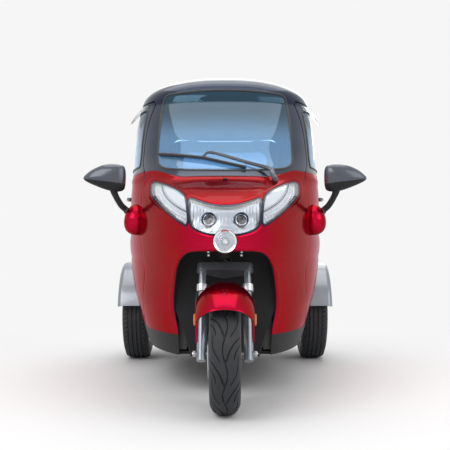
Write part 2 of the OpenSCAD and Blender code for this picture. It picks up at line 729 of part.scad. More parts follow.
// Point s up the fork from the axle and back from the fork's line, square to it
function fork_point(s, back) = [
    0,
    front_axle_y + s * sin(rake) + back * cos(rake),
    front_axle_z + s * cos(rake) - back * sin(rake)
];
head_len = 150;
head_low = fork_len + 34;
post_y = wheelhouse_back_y + 80;
module chassis_frame() {
    low = fork_point(head_low, fork_offset);
    high = fork_point(head_low + head_len - 18, fork_offset);
    post_top = 690;
    shaft = shaft_point(150);
    color("dimgray") {
        difference() {
            union() {
                translate(low) rotate([-rake, 0, 0]) cylinder(h = head_len, d = column_d + 22, $fn = 64);
                translate(shaft_point(165)) rotate([-shaft_lean, 0, 0]) cylinder(h = 30, d = column_d + 16, $fn = 48);
                both_sides() {
                    tube(high + [18, 0, 0], [rail_x, post_y, post_top - 14], 34);
                    bar([rail_x, post_y, rail_z], [rail_x, post_y, post_top], 36);
                    tube(shaft + [20, 4, 0], [60, post_y, post_top - 10], 20);
                }
                bar([-rail_x, post_y, post_top - 17], [rail_x, post_y, post_top - 17], 34);
                bar([-rail_x, post_y, 600], [rail_x, post_y, 600], 28);
                // Brackets under the dashboard
                both_sides() {
                    translate([rail_x - 10, post_y, post_top - 30]) cube([20, dash_y - post_y, 20]);
                    translate([rail_x - 10, dash_y - 20, post_top - 30]) cube([20, 20, dash_z - post_top + 30 - 0.1]);
                }
            }
            translate(fork_point(head_low - 1, fork_offset)) rotate([-rake, 0, 0])
                cylinder(h = head_len + 2, d = column_d + 10, $fn = 64);
            translate(shaft_point(190)) rotate([-shaft_lean, 0, 0]) cylinder(h = 90, d = shaft_d + 1, $fn = 48);
        }
        both_sides() {
            bar([rail_x, post_y - 18, rail_z], [rail_x, trunk_y - 40, rail_z], rail_w, 30);
            tube([rail_x, trunk_y - 50, rail_z], [rail_x, trunk_y + 70, 400], 38);
            bar([rail_x, trunk_y + 60, 405], [rail_x, tail_y - 160, 405], 38);
        }
        for (y = [post_y + 20, trunk_y - 70])
            bar([-rail_x, y, rail_z + 3], [rail_x, y, rail_z + 3], 34, 26);
        for (y = [trunk_y + 80, rear_axle_y, tail_y - 180])
            bar([-rail_x - 62, y, 405], [rail_x + 62, y, 405], y == rear_axle_y ? 90 : 34, 34);
    }
}
module battery_box() {
    color("gray") translate([-rail_x - 10, -60, rail_z + 16]) cube([2 * rail_x + 20, 330, seat_z - 120 - rail_z - 16]);
}
dash_y = -300;
dash_z = 800;
module dashboard() {
    color("black") difference() {
        both_sides() from_side(-eps, 290) polygon([
            [dash_y - 40, dash_z], [-338, 890], [-318, 930], [-288, 940], [-262, 922], [-258, 860], [dash_y + 20, dash_z]
        ]);
        translate([-85, -500, 780]) cube([170, 300, 150]);
    }
}
module seat_shape(w, depth, low, back_y, back_h) {
    r = 30;
    both_sides() from_side(-eps, w / 2) polygon(concat(
        arc([back_y - depth + r, low + r], r, 180, 270, 4),
        [[back_y + 26, low]],
        [[back_y + 26 + back_h * 0.2, low + back_h - r]],
        arc([back_y - 24 + back_h * 0.2, low + back_h - 40], 46, 20, 170, 6),
        [[back_y - 60, low + 110]],
        arc([back_y - depth + r, low + 110 - r], r, 90, 180, 4)
    ));
}
module driver_seat() {
    color("dimgray") seat_shape(seat_w, 380, seat_z - 120, 290, 470);
}
module rear_bench() {
    color("dimgray") seat_shape(bench_w, 330, trunk_z + floor_t, 735, 470);
}
module brake_pedal() {
    color("dimgray") {
        tube([120, post_y + 20, 600], [120, post_y + 70, 330], 14);
        translate([85, post_y + 62, 290]) rotate([20, 0, 0]) cube([70, 14, 60]);
    }
}

// Rear axle with the motor, on coil springs
module rear_axle() {
    hub = track / 2 - 44;
    color("dimgray") {
        tube([-hub, rear_axle_y, rear_axle_z], [hub, rear_axle_y, rear_axle_z], 60);
        translate([-95, rear_axle_y, rear_axle_z]) rotate([0, 90, 0]) cylinder(h = 130, d = 200, $fn = 96);
        translate([-30, rear_axle_y, rear_axle_z]) rotate([90, 0, 0]) cylinder(h = 175, d = 130, $fn = 96);
        both_sides() {
            translate([hub, rear_axle_y, rear_axle_z]) rotate([0, 90, 0]) cylinder(h = 92, d = 30, $fn = 48);
            translate([rail_x + 62, rear_axle_y, rear_axle_z + 28]) cylinder(h = 14, d = 96, $fn = 48);
        }
    }
}
module rear_springs() {
    turns = 5;
    low = rear_axle_z + 42;
    high = 386;
    color("silver") both_sides() translate([rail_x + 62, rear_axle_y, 0]) {
        translate([0, 0, low]) cylinder(h = high - low, d = 34, $fn = 40);
        for (i = [0:turns - 1])
            translate([0, 0, low + 10 + i * (high - low - 20) / (turns - 1)])
                rotate_extrude($fn = 48) translate([34, 0]) circle(d = 12, $fn = 20);
    }
}

// Wheels
// crown is the drop of the tread at its edges, shoulder their distance out as a share of the half width
module tyre(d, w, crown, shoulder) {
    r = d / 2;
    bead = rim_d / 2;
    side = w / 2;
    h = r - bead;
    // Half profile as height above the bead and distance from the middle, outside then inside
    outer = [
        for (p = [[0, 0.72], [0.15, 0.73], [0.2, 0.86], [0.36, 0.975], [0.5, 1], [0.66, 0.975], [0.82, 0.9]])
            if (bead + p[0] * h < r - crown - 3) [bead + p[0] * h, p[1] * side],
        for (k = [0:5]) let (t = 1 - k / 5) [r - crown * t * t, shoulder * side * sqrt(t)]
    ];
    inner = [
        [r - tyre_wall - 3, 0], [r - tyre_wall - 5 - crown * 0.45, 0.5 * side],
        [bead + 0.74 * h, side - tyre_wall - 6], [bead + 0.4 * h, side - tyre_wall], [bead + 0.14 * h, 0.84 * side - tyre_wall],
        [bead, 0.72 * side - tyre_wall]
    ];
    half = concat(outer, inner);
    full = concat(
        outer, [for (i = [len(outer) - 2:-1:0]) [outer[i][0], -outer[i][1]]],
        [for (i = [len(inner) - 1:-1:0]) [inner[i][0], -inner[i][1]]],
        [for (i = [1:len(inner) - 1]) inner[i]]
    );
    rotate([0, 90, 0]) rotate_extrude($fn = 128) polygon(full);
}
module rim(w, bore, hub_len) {
    bead = rim_d / 2;
    side = w * 0.366 + 0.2;
    rotate([0, 90, 0]) difference() {
        union() {
            rotate_extrude($fn = 128) polygon([
                [bead - 0.2, side], [bead + 11, side + 1], [bead + 11, side + 6], [bead - 6, side + 4], [bead - 14, side - 18],
                [bead - 26, side - 24], [bead - 26, -side + 24], [bead - 14, -side + 18], [bead - 6, -side - 4],
                [bead + 11, -side - 6], [bead + 11, -side - 1], [bead - 0.2, -side], [bead - 8, -side + 20],
                [bead - 20, -side + 26], [bead - 20, side - 26], [bead - 8, side - 20]
            ]);
            cylinder(h = hub_len, d = 74, center = true, $fn = 64);
            for (k = [0:spokes - 1]) rotate([0, 0, 360 * k / spokes + 90])
                translate([20, 0, 6]) linear_extrude(22, center = true)
                    polygon([[0, -17], [bead - 44, -19], [bead - 44, 19], [0, 17]]);
        }
        cylinder(h = w * 2, d = bore, center = true, $fn = 64);
    }
}
module front_wheel_place() { translate([0, front_axle_y, front_axle_z]) children(); }
module rear_wheel_place(side) { translate([side * track / 2, rear_axle_y, rear_axle_z]) children(); }
front_axle_d = 15;
hub_fit = 0.3;
disc_x = 64;
module brake_disc() {
    color("silver") front_wheel_place() translate([-disc_x - 4, 0, 0]) rotate([0, 90, 0]) difference() {
        cylinder(h = 4, d = 190, $fn = 96);
        translate([0, 0, -1]) cylinder(h = 6, d = front_axle_d + 40, $fn = 64);
        for (k = [0:7]) rotate([0, 0, 45 * k]) translate([62, 0, -1]) cylinder(h = 6, d = 20, $fn = 32);
    }
}

// Fork: two tubes, a yoke, the lower legs with the axle, and the brake calliper
yoke_t = 34;
module fork() {
    color("silver") {
        both_sides() {
            translate([fork_x, front_axle_y, front_axle_z]) rotate([-rake, 0, 0]) {
                translate([0, 0, -30]) cylinder(h = 226, d = fork_lower_d, $fn = 64);
                translate([0, 0, 190]) cylinder(h = fork_len - 190, d = fork_upper_d, $fn = 64);
            }
            translate([fork_x + fork_lower_d / 2 - 4, front_axle_y, front_axle_z]) rotate([0, 90, 0])
                cylinder(h = 14, d = 24, $fn = 6);
        }
        translate([-fork_x, front_axle_y, front_axle_z]) rotate([0, 90, 0]) cylinder(h = 2 * fork_x, d = front_axle_d, $fn = 48);
        translate([0, front_axle_y, front_axle_z]) rotate([-rake, 0, 0]) translate([0, 0, fork_len - yoke_t])
            linear_extrude(yoke_t) hull() {
                for (x = [-fork_x, fork_x]) translate([x, 0]) circle(d = fork_upper_d + 18, $fn = 48);
                translate([0, fork_offset]) circle(d = column_d + 20, $fn = 48);
            }
    }
}
module steering_column() {
    low = fork_point(fork_len, fork_offset);
    color("silver") translate(low) rotate([-rake, 0, 0])
        cylinder(h = head_len + 56, d = column_d, $fn = 64);
}
fender_r = 284;
// Angles of the fender's ends behind and ahead of upright
fender_back = 52;
fender_ahead = 47;
module front_fender() {
    inner = fender_r - 5;
    color("firebrick") difference() {
        translate([0, front_axle_y, front_axle_z]) rotate([0, 90, 0]) rotate([0, 0, 180 - fender_back])
            rotate_extrude(angle = fender_back + fender_ahead, $fn = 128) polygon(concat(
                [[fender_r - 66, 112], [fender_r - 40, 111]],
                arc([fender_r - 36, 76], 35, 90, 15, 5),
                [[fender_r, 44], [fender_r, -44]],
                arc([fender_r - 36, -76], 35, -15, -90, 5),
                [[fender_r - 40, -111], [fender_r - 66, -112], [fender_r - 66, -108], [fender_r - 40, -107]],
                arc([fender_r - 40, -74], 32, -90, -15, 5),
                [[inner, -44], [inner, 44]],
                arc([fender_r - 40, 74], 32, 15, 90, 5),
                [[fender_r - 40, 107], [fender_r - 66, 108]]
            ));
        both_sides() translate([fork_x, front_axle_y, front_axle_z]) rotate([-rake, 0, 0])
            cylinder(h = far, d = fork_lower_d, $fn = 64);
    }
    // Stays down the outside of the fork legs
    color("firebrick") both_sides() translate([fork_x + fork_lower_d / 2, front_axle_y, front_axle_z]) rotate([-rake, 0, 0])
        translate([0, -9, 50]) cube([5, 18, 170]);
}
// Handlebar on an upper shaft that leans further back than the fork
bar_y = -190;
bar_z = 965;
shaft_lean = 45;
shaft_d = 28;
// Point of the upper shaft, down from the bar
function shaft_point(down) = [0, bar_y - down * sin(shaft_lean), bar_z - down * cos(shaft_lean)];
module handlebar() {
    color("black") translate([0, bar_y, bar_z]) rotate([-shaft_lean, 0, 0]) {
        translate([0, 0, -205]) cylinder(h = 205, d = shaft_d, $fn = 48);
        cylinder(h = 44, d = 58, center = true, $fn = 48);
        tube([-bar_w / 2 + 60, 0, 0], [bar_w / 2 - 60, 0, 0], 24);
        both_sides() tube([bar_w / 2 - 120, 0, 0], [bar_w / 2, 0, 0], 34);
        translate([-70, -36, 14]) cube([140, 72, 26]);
    }
}

module door_left_panel() { door_panel_part(); }
module door_left_frame() { door_frame_part(); }
module door_left_glass() { door_glass_part(); }
module mirror_left() { mirror_part(); }
module visor_left() { visor_part(); }
module door_right_panel() { mirror([1, 0, 0]) door_panel_part(); }
module door_right_frame() { mirror([1, 0, 0]) door_frame_part(); }
module door_right_glass() { mirror([1, 0, 0]) door_glass_part(); }
module mirror_right() { mirror([1, 0, 0]) mirror_part(); }
module visor_right() { mirror([1, 0, 0]) visor_part(); }
module front_tyre() { color("black") front_wheel_place() tyre(front_tyre_d, front_tyre_w, 34, 0.96); }
module front_rim() { color("silver") front_wheel_place() rim(front_tyre_w, front_axle_d + 2 * hub_fit, 2 * disc_x); }
module rear_left_tyre() { color("black") rear_wheel_place(1) tyre(rear_tyre_d, rear_tyre_w, 9, 0.86); }
module rear_left_rim() { color("silver") rear_wheel_place(1) rim(rear_tyre_w, 30 + 2 * hub_fit, 82); }
module rear_right_tyre() { color("black") rear_wheel_place(-1) tyre(rear_tyre_d, rear_tyre_w, 9, 0.86); }
module rear_right_rim() { color("silver") rear_wheel_place(-1) rim(rear_tyre_w, 30 + 2 * hub_fit, 82); }

chassis_frame();
floor_pan();
wheelhouse();
nose_cowl();
headlamp();
side_lamps();
nose_lamp();
screen_frame();
windscreen();
wiper();
roof();
rear_quarters();
rear_cabin();
quarter_glass();
tailgate();
rear_window();
tail_lamps();
rear_bumper();
rear_fenders();
battery_box();
dashboard();
driver_seat();
rear_bench();
brake_pedal();
door_left_panel();
door_left_frame();
door_left_glass();
mirror_left();
visor_left();
door_right_panel();
door_right_frame();
door_right_glass();
mirror_right();
visor_right();
steering_column();
handlebar();
fork();
front_fender();
front_tyre();
front_rim();
brake_disc();
rear_left_tyre();
rear_left_rim();
rear_right_tyre();
rear_right_rim();
rear_axle();
rear_springs();
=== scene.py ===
"""Looks of an enclosed electric tricycle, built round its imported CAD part.

The body is one surface: each height has an elliptic half section at the nose and one at the tail. Panels,
glass and lamps are cut from that surface, so they share their edges. Lengths are in metres.
"""
import math

import bpy
import numpy as np
from bpy.props import FloatProperty, FloatVectorProperty, IntProperty, PointerProperty
from bpy.types import Operator, Panel, PropertyGroup
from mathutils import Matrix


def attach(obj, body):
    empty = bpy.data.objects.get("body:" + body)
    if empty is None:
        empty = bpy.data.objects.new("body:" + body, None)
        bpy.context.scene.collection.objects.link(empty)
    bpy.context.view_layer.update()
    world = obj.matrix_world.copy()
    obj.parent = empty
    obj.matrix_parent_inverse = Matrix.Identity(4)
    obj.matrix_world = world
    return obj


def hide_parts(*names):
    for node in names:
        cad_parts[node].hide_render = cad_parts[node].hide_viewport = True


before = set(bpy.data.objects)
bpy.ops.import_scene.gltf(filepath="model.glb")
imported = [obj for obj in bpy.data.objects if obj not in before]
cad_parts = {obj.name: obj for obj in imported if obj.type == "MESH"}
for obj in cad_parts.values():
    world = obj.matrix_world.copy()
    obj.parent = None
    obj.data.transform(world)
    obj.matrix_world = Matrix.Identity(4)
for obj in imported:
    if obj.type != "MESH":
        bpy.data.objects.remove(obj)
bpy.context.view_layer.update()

bl_info = {
    "name": "Enclosed Electric Tricycle",
    "version": (1, 0, 0),
    "blender": (4, 5, 0),
    "location": "3D View > Sidebar > Tricycle",
    "description": "Builds the body panels, lamps, wheels and cabin of a closed three-wheeled vehicle",
    "category": "Object",
}

MM = 0.001

# Sizes of the CAD part
WIDTH = 1.018
HEIGHT = 1.545
LENGTH = 2.180
FRONT_AXLE = np.array([0.0, -0.854, 0.236])
REAR_AXLE = np.array([0.0, 0.646, 0.254])
TRACK = 1.008
WIDEST_Y = 0.300
GUTTER_Z = 1.380
DOME_N = 2.2
REAR_P = 2.8
REAR_Q = 3.0
BODY_LOW = 0.272
BELT_Z = 1.012
SILL_Z = 0.178
SHUT_GAP = 0.007
PANEL_T = 0.008
PILLAR_T = 0.026
GLASS_T = 0.005
ROOF_T = 0.014
DOOR_T = 0.038
FRAME_T = 0.024
LID_T = 0.026
RIM_R = 0.1525
FRONT_TYRE = (0.236, 0.060, 0.034)
REAR_TYRE = (0.254, 0.0725, 0.009)
RAKE = math.radians(26)
FORK_X = 0.093
ARCH_R = 0.292
FENDER_OUT = 0.594
NOSE_LAMP_R = 0.046
NOSE_LAMP_Z = 0.679
BAR_Y = -0.190
BAR_Z = 0.965
GRIP_FROM = 0.138
GRIP_TO = 0.2445

# Share of the rows and columns that each body sheet keeps, so that the scene stays under a million triangles
SHEET_DENSITY = 0.65

# The photograph's camera, worked out in pixels of a square picture
PHOTO_PX = 450
FOCAL_PX = 772
HORIZON_PX = 16
SENSOR_MM = 36
EYE = (0.0, -3.894, 0.680)

# Height, nose behind the front axle, tail behind the rear axle, tuck of the side from the widest half
# width, and the two exponents of the front half section
SECTIONS = np.array([
    [178, 254, 314, 114, 2.0, 2.3],
    [267, 242, 339, 89, 2.0, 2.5],
    [350, 214, 354, 64, 2.0, 2.3],
    [420, 174, 364, 38, 2.0, 2.0],
    [500, 109, 374, 19, 2.0, 1.7],
    [600, 14, 384, 5, 2.0, 1.5],
    [680, -36, 389, 0, 2.0, 1.45],
    [750, -26, 389, 9, 2.0, 1.5],
    [820, 34, 389, 11, 2.0, 1.7],
    [890, 179, 387, 14, 2.1, 2.0],
    [950, 339, 384, 18, 2.2, 2.2],
    [1030, 464, 374, 22, 2.4, 2.2],
    [1200, 639, 314, 31, 2.5, 2.2],
    [1310, 754, 249, 43, 2.5, 2.2],
    [1380, 826, 194, 62, 2.5, 2.2],
]) * [MM, MM, MM, MM, 1, 1]

# Outlines seen from the front (X, Z) for the vehicle's left, or from the side (Y, Z), in millimetres
ARCH = [[0, 100], [203, 100], [203, 272], [224, 380], [222, 450], [204, 560], [184, 608], [146, 640], [0, 640]]
HEADLAMP = [[0, 822], [55, 828], [110, 846], [156, 868], [150, 790], [140, 735], [95, 712], [42, 700], [0, 712]]
SIDE_LAMP = [[160, 868], [205, 905], [265, 935], [341, 963], [337, 890], [300, 850], [245, 800], [190, 757],
             [144, 732]]
SCREEN = [[0, 996], [150, 1000], [262, 1012], [298, 1024], [318, 1046], [324, 1080], [322, 1300], [314, 1390],
          [302, 1416], [280, 1428], [0, 1442]]
DOOR_WINDOW = [[-92, 1050], [-78, 1040], [288, 1040], [302, 1052], [302, 1330], [290, 1350], [270, 1358],
               [112, 1358], [92, 1346], [60, 1300]]
QUARTER_WINDOW = [[362, 1052], [380, 1040], [660, 1040], [690, 1052], [700, 1078], [672, 1190], [628, 1290],
                  [600, 1326], [570, 1338], [384, 1338], [366, 1328], [358, 1310]]
TAIL_LAMP = [[372, 640], [428, 660], [440, 720], [436, 850], [424, 900], [380, 905], [366, 880], [366, 660]]
MIRROR = np.array([[461, 1026], [498, 1040], [563, 1038], [622, 1012], [662, 978], [656, 962], [619, 943], [544, 914],
                   [489, 908], [463, 922]]) * 0.001


# The body surface
def mix(a, b, t):
    return a + (b - a) * t


def ease(t):
    """Smooth step from 0 to 1: 3 t squared less 2 t cubed."""
    t = np.clip(t, 0, 1)
    return t * t * (3 - 2 * t)


def column(c, z):
    """Value of a table column at height z, by a cubic between rows whose slopes are weighted means."""
    h, v = SECTIONS[:, 0], SECTIONS[:, c]
    chord = np.diff(v) / np.diff(h)
    rise = np.diff(h)
    slope = np.empty_like(v)
    slope[0], slope[-1] = chord[0], chord[-1]
    slope[1:-1] = (chord[:-1] * rise[1:] + chord[1:] * rise[:-1]) / (rise[1:] + rise[:-1])
    z = np.clip(z, h[0], h[-1])
    i = np.clip(np.searchsorted(h, z, side="right") - 1, 0, len(h) - 2)
    t = (z - h[i]) / rise[i]
    return (v[i] * (2 * t**3 - 3 * t**2 + 1) + slope[i] * rise[i] * (t**3 - 2 * t**2 + t)
            + v[i + 1] * (3 * t**2 - 2 * t**3) + slope[i + 1] * rise[i] * (t**3 - t**2))


def shrink(z, d=0.0):
    """Share of the plan left at height z under the dome, an arc of exponent DOME_N."""
    u = np.clip((z - GUTTER_Z) / (HEIGHT - d - GUTTER_Z), 0, 1)
    return (1 - u**DOME_N) ** (1 / DOME_N)


def dome_z(share, d=0.0):
    """Height at which that share of the plan is left."""
    return GUTTER_Z + (HEIGHT - d - GUTTER_Z) * np.maximum(1 - share**DOME_N, 0) ** (1 / DOME_N)


def nose_len(z, d=0.0):
    return shrink(z, d) * (WIDEST_Y - d - FRONT_AXLE[1] - column(1, z))


def tail_len(z, d=0.0):
    return shrink(z, d) * (REAR_AXLE[1] + column(2, z) - WIDEST_Y - d)


def half_w(z, d=0.0):
    return shrink(z, d) * (WIDTH / 2 - column(3, z) - d)


def skin(z, a, d=0.0):
    """Point at height z and angle a, set in by d: X and Y are powers of the angle's sine and cosine."""
    z, a = np.broadcast_arrays(np.asarray(z, float), np.asarray(a, float))
    s, c = np.abs(np.sin(a)), np.abs(np.cos(a))
    ahead = np.cos(a) >= 0
    p = np.where(ahead, column(4, z), REAR_P)
    q = np.where(ahead, column(5, z), REAR_Q)
    reach = np.where(ahead, -nose_len(z, d), tail_len(z, d))
    return np.stack([np.sign(np.sin(a)) * half_w(z, d) * s ** (2 / p), WIDEST_Y + reach * c ** (2 / q), z], -1)


def angle_at(z, y, d=0.0):
    """Angle at which the surface at height z passes y, on the vehicle's left."""
    front = np.arccos(np.clip((WIDEST_Y - y) / np.maximum(nose_len(z, d), 1e-6), 0, 1) ** (column(5, z) / 2))
    back = np.pi - np.arccos(np.clip((y - WIDEST_Y) / np.maximum(tail_len(z, d), 1e-6), 0, 1) ** (REAR_Q / 2))
    return np.where(y < WIDEST_Y, front, back)


def side_x(z, y, d=0.0):
    return skin(z, angle_at(z, y, d), d)[..., 0]


def front_y(z, x, d=0.0):
    """Y of the front surface at height z and x."""
    share = np.clip(np.abs(x) / half_w(z, d), 0, 1)
    return WIDEST_Y - nose_len(z, d) * (1 - share ** column(4, z)) ** (1 / column(5, z))


def tail_y(z, x, d=0.0):
    """Y of the rear surface at height z and x."""
    share = np.clip(np.abs(x) / half_w(z, d), 0, 1)
    return WIDEST_Y + tail_len(z, d) * (1 - share**REAR_P) ** (1 / REAR_Q)


# Seams between the panels, as in the CAD part
def seam_y(z):
    low = -0.374 + 0.220 * np.clip((0.560 - z) / 0.280, 0, 1) ** 1.1
    high = -0.374 + 0.224 * ease((z - 0.822) / 0.260) + 0.6 * np.maximum(0, z - BELT_Z)
    return np.where(z < 0.822, low, high)


def seam_gap(z):
    return SHUT_GAP * np.sqrt(1 + ((seam_y(z + 0.005) - seam_y(z - 0.005)) / 0.010) ** 2)


def door_back_y(z):
    return 0.326 - 0.040 * np.clip((0.620 - z) / 0.290, 0, 1) ** 2


def roof_z(a):
    deg = np.degrees(np.abs(a))
    deg = np.where(deg > 180, 360 - deg, deg)
    return mix(1.455, 1.398, ease((deg - 8) / 55)) + 0.057 * 0.7 * ease((deg - 130) / 50)


def screen_z(a):
    return mix(0.968, BELT_Z, ease((np.degrees(np.abs(a)) - 19) / 22))


def front_angle(u, z, d=0.0):
    return u * angle_at(z, seam_y(z), d)


def rear_angle(u, z, d=0.0):
    a = angle_at(z, door_back_y(z), d)
    return mix(a, 2 * np.pi - a, u)


def meet(height, angle, u, z):
    """Height where the column u meets a seam given as height per angle, closing in on it."""
    z = np.full_like(u, z)
    for _ in range(8):
        z = height(angle(u, z))
    return z


# Meshes
def smooth_loop(points, rounds=3, ratio=0.22):
    """Rounds a closed outline: each corner is cut at a share of its sides, a few times over."""
    p = np.asarray(points, float)
    for _ in range(rounds):
        q = np.roll(p, -1, 0)
        p = np.stack([mix(p, q, ratio), mix(q, p, ratio)], 1).reshape(-1, p.shape[1])
    return p


def mirrored(half):
    """Outline of both halves, from the points of the vehicle's left one, in metres."""
    p = np.asarray(half, float) * MM
    q = p[::-1] * [-1, 1]
    return np.concatenate([p, q[np.abs(q[:, 0]) > 1e-9]])


def rounded_rect(w, h, r, cx=0.0, cz=0.0, n=8):
    """Corner points of a rectangle with round corners."""
    t = np.radians(np.linspace(0, 90, n))
    parts = [np.stack([sx * (w / 2 - r) + r * np.cos(t + k), sz * (h / 2 - r) + r * np.sin(t + k)], -1)
             for k, sx, sz in ((0, 1, 1), (np.pi / 2, -1, 1), (np.pi, -1, -1), (1.5 * np.pi, 1, -1))]
    return np.concatenate(parts) + [cx, cz]


def depth_in(points, outline):
    """Distance of points to an outline's nearest side, positive inside it (even-odd crossings)."""
    a, b = outline, np.roll(outline, -1, 0)
    p = points[:, None, :]
    e = b - a
    t = np.clip(((p - a) * e).sum(-1) / np.maximum((e * e).sum(-1), 1e-18), 0, 1)
    dist = np.sqrt((((a + t[..., None] * e) - p) ** 2).sum(-1)).min(1)
    up = (a[:, 1] > p[..., 1]) != (b[:, 1] > p[..., 1])
    cross = a[:, 0] + (p[..., 1] - a[:, 1]) * e[:, 0] / np.where(e[:, 1] == 0, 1e-18, e[:, 1])
    odd = (up & (p[..., 0] < cross)).sum(1) % 2 == 1
    return np.where(odd, dist, -dist)


def grid_tris(rows, cols, close_u=False, close_v=False):
    """Triangles of a grid of rows by cols points, joined round where asked."""
    i, j = np.meshgrid(np.arange(rows if close_u else rows - 1), np.arange(cols if close_v else cols - 1),
                       indexing="ij")
    a, b = i * cols + j, i * cols + (j + 1) % cols
    c, d = ((i + 1) % rows) * cols + (j + 1) % cols, ((i + 1) % rows) * cols + j
    return np.concatenate([np.stack([a, b, c], -1).reshape(-1, 3), np.stack([a, c, d], -1).reshape(-1, 3)])


def clip(P, T, value):
    """The part of a sheet where value is positive: triangles are cut on the line where it is zero."""
    f = np.where(np.abs(value) < 1e-5, 1e-5, value)
    inside = f[T] > 0
    n = inside.sum(1)

    def turned(pick, odd):
        r = (inside[pick] == odd).argmax(1)
        return np.take_along_axis(T[pick], (r[:, None] + np.arange(3)) % 3, 1)

    one, two = turned(n == 1, True), turned(n == 2, False)
    edges = np.sort(np.concatenate([one[:, [0, 1]], one[:, [0, 2]], two[:, [0, 1]], two[:, [0, 2]]]), 1)
    pairs, back = np.unique(edges, axis=0, return_inverse=True)
    w = (f[pairs[:, 0]] / (f[pairs[:, 0]] - f[pairs[:, 1]]))[:, None]
    new = mix(P[pairs[:, 0]], P[pairs[:, 1]], w)
    at = len(P) + back.reshape(-1)
    m, k = len(one), len(two)
    a, b, c, d = at[:m], at[m:2 * m], at[2 * m:2 * m + k], at[2 * m + k:]
    T = np.concatenate([T[n == 3], np.stack([one[:, 0], a, b], 1), np.stack([c, two[:, 1], two[:, 2]], 1),
                        np.stack([c, two[:, 2], d], 1)])
    used, back = np.unique(T, return_inverse=True)
    return np.concatenate([P, new])[used], back.reshape(-1, 3)


def unit(v):
    return v / np.maximum(np.linalg.norm(v, axis=-1, keepdims=True), 1e-12)


def vertex_normals(V, T):
    n = np.zeros_like(V)
    f = np.cross(V[T[:, 1]] - V[T[:, 0]], V[T[:, 2]] - V[T[:, 0]])
    for k in range(3):
        np.add.at(n, T[:, k], f)
    return unit(n)


def free_edges(T):
    """Edges that only one triangle has, in that triangle's direction."""
    e = np.concatenate([T[:, [0, 1]], T[:, [1, 2]], T[:, [2, 0]]])
    _, first, count = np.unique(np.sort(e, 1), axis=0, return_index=True, return_counts=True)
    return e[first[count == 1]]


def shell_mesh(V, W, T, roll):
    """A closed panel from an outer sheet V and an inner one W: its rim turns in on a quarter circle.
    Gives points, triangles and a mark that is 1 on the inside."""
    n = vertex_normals(V, T)
    edges = free_edges(T)
    rim, back = np.unique(edges, return_inverse=True)
    edges_r = back.reshape(-1, 2)
    out = np.zeros((len(rim), 3))
    side = np.cross(V[edges[:, 1]] - V[edges[:, 0]], n[edges[:, 0]] + n[edges[:, 1]])
    np.add.at(out, edges_r[:, 0], unit(side))
    np.add.at(out, edges_r[:, 1], unit(side))
    out = unit(out)
    nr = n[rim]
    rings = [V[rim] + roll * (out * math.sin(t) - nr * (1 - math.cos(t))) for t in np.radians([30, 60, 90])]
    rings.append(W[rim] + out * roll)
    base = len(V)
    count = len(rim)
    levels = [rim] + [base + k * count + np.arange(count) for k in range(4)] + [base + 4 * count + rim]
    faces, marks = [T], [np.zeros(len(T), int)]
    for k in range(5):
        a, b = levels[k][edges_r[:, 0]], levels[k][edges_r[:, 1]]
        c, d = levels[k + 1][edges_r[:, 1]], levels[k + 1][edges_r[:, 0]]
        faces.append(np.concatenate([np.stack([b, a, d], 1), np.stack([b, d, c], 1)]))
        marks.append(np.full(2 * len(edges), 0 if k < 3 else 1))
    faces.append(T[:, ::-1] + base + 4 * count)
    marks.append(np.ones(len(T), int))
    return np.concatenate([V] + rings + [W]), np.concatenate(faces), np.concatenate(marks)


def join(*parts):
    """One mesh from several (points, triangles, marks)."""
    V, T, M, base = [], [], [], 0
    for v, t, m in parts:
        V.append(v)
        T.append(np.asarray(t) + base)
        M.append(np.zeros(len(t), int) + m)
        base += len(v)
    return np.concatenate(V), np.concatenate(T), np.concatenate(M)


def add_object(name, mesh, materials, body, replaces=(), sharp=40):
    """Puts points, triangles and marks (the material of each face) into an object that rides on a body."""
    V, T, M = mesh if len(mesh) == 3 else (*mesh, 0)
    me = bpy.data.meshes.new(name)
    me.vertices.add(len(V))
    me.vertices.foreach_set("co", np.asarray(V, np.float32).ravel())
    me.loops.add(T.size)
    me.loops.foreach_set("vertex_index", np.asarray(T, np.int32).ravel())
    me.polygons.add(len(T))
    size = T.shape[1]
    me.polygons.foreach_set("loop_start", np.arange(0, T.size, size, dtype=np.int32))
    me.polygons.foreach_set("material_index", np.broadcast_to(M, len(T)).astype(np.int32))
    me.update(calc_edges=True)
    me.validate()
    me.shade_smooth()
    me.set_sharp_from_angle(angle=math.radians(sharp))
    obj = bpy.data.objects.new(name, me)
    bpy.context.scene.collection.objects.link(obj)
    for m in materials:
        me.materials.append(m)
    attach(obj, body)
    if replaces:
        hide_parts(*replaces)
    return obj


def outward(V, T, M=0):
    """A closed mesh with its faces turned outwards, by the sign of its volume."""
    a, b, c = V[T[:, 0]], V[T[:, 1]], V[T[:, 2]]
    return V, (T if (a * np.cross(b, c)).sum() >= 0 else T[:, ::-1]), M


def lathe(profile, centre, n=96, axis=0, closed=True):
    """Turns a profile of (radius, distance along the axis) about an axis through centre."""
    p = np.asarray(profile, float)
    t = np.linspace(0, 2 * np.pi, n, endpoint=False)
    ring = np.zeros((n, len(p), 3))
    u, v = [(1, 2), (2, 0), (0, 1)][axis]
    ring[..., axis] = p[:, 1]
    ring[..., u] = p[:, 0] * np.cos(t)[:, None]
    ring[..., v] = p[:, 0] * np.sin(t)[:, None]
    T = grid_tris(n, len(p), True, closed)
    V, T, _ = outward(ring.reshape(-1, 3), T)
    return V + centre, T, 0


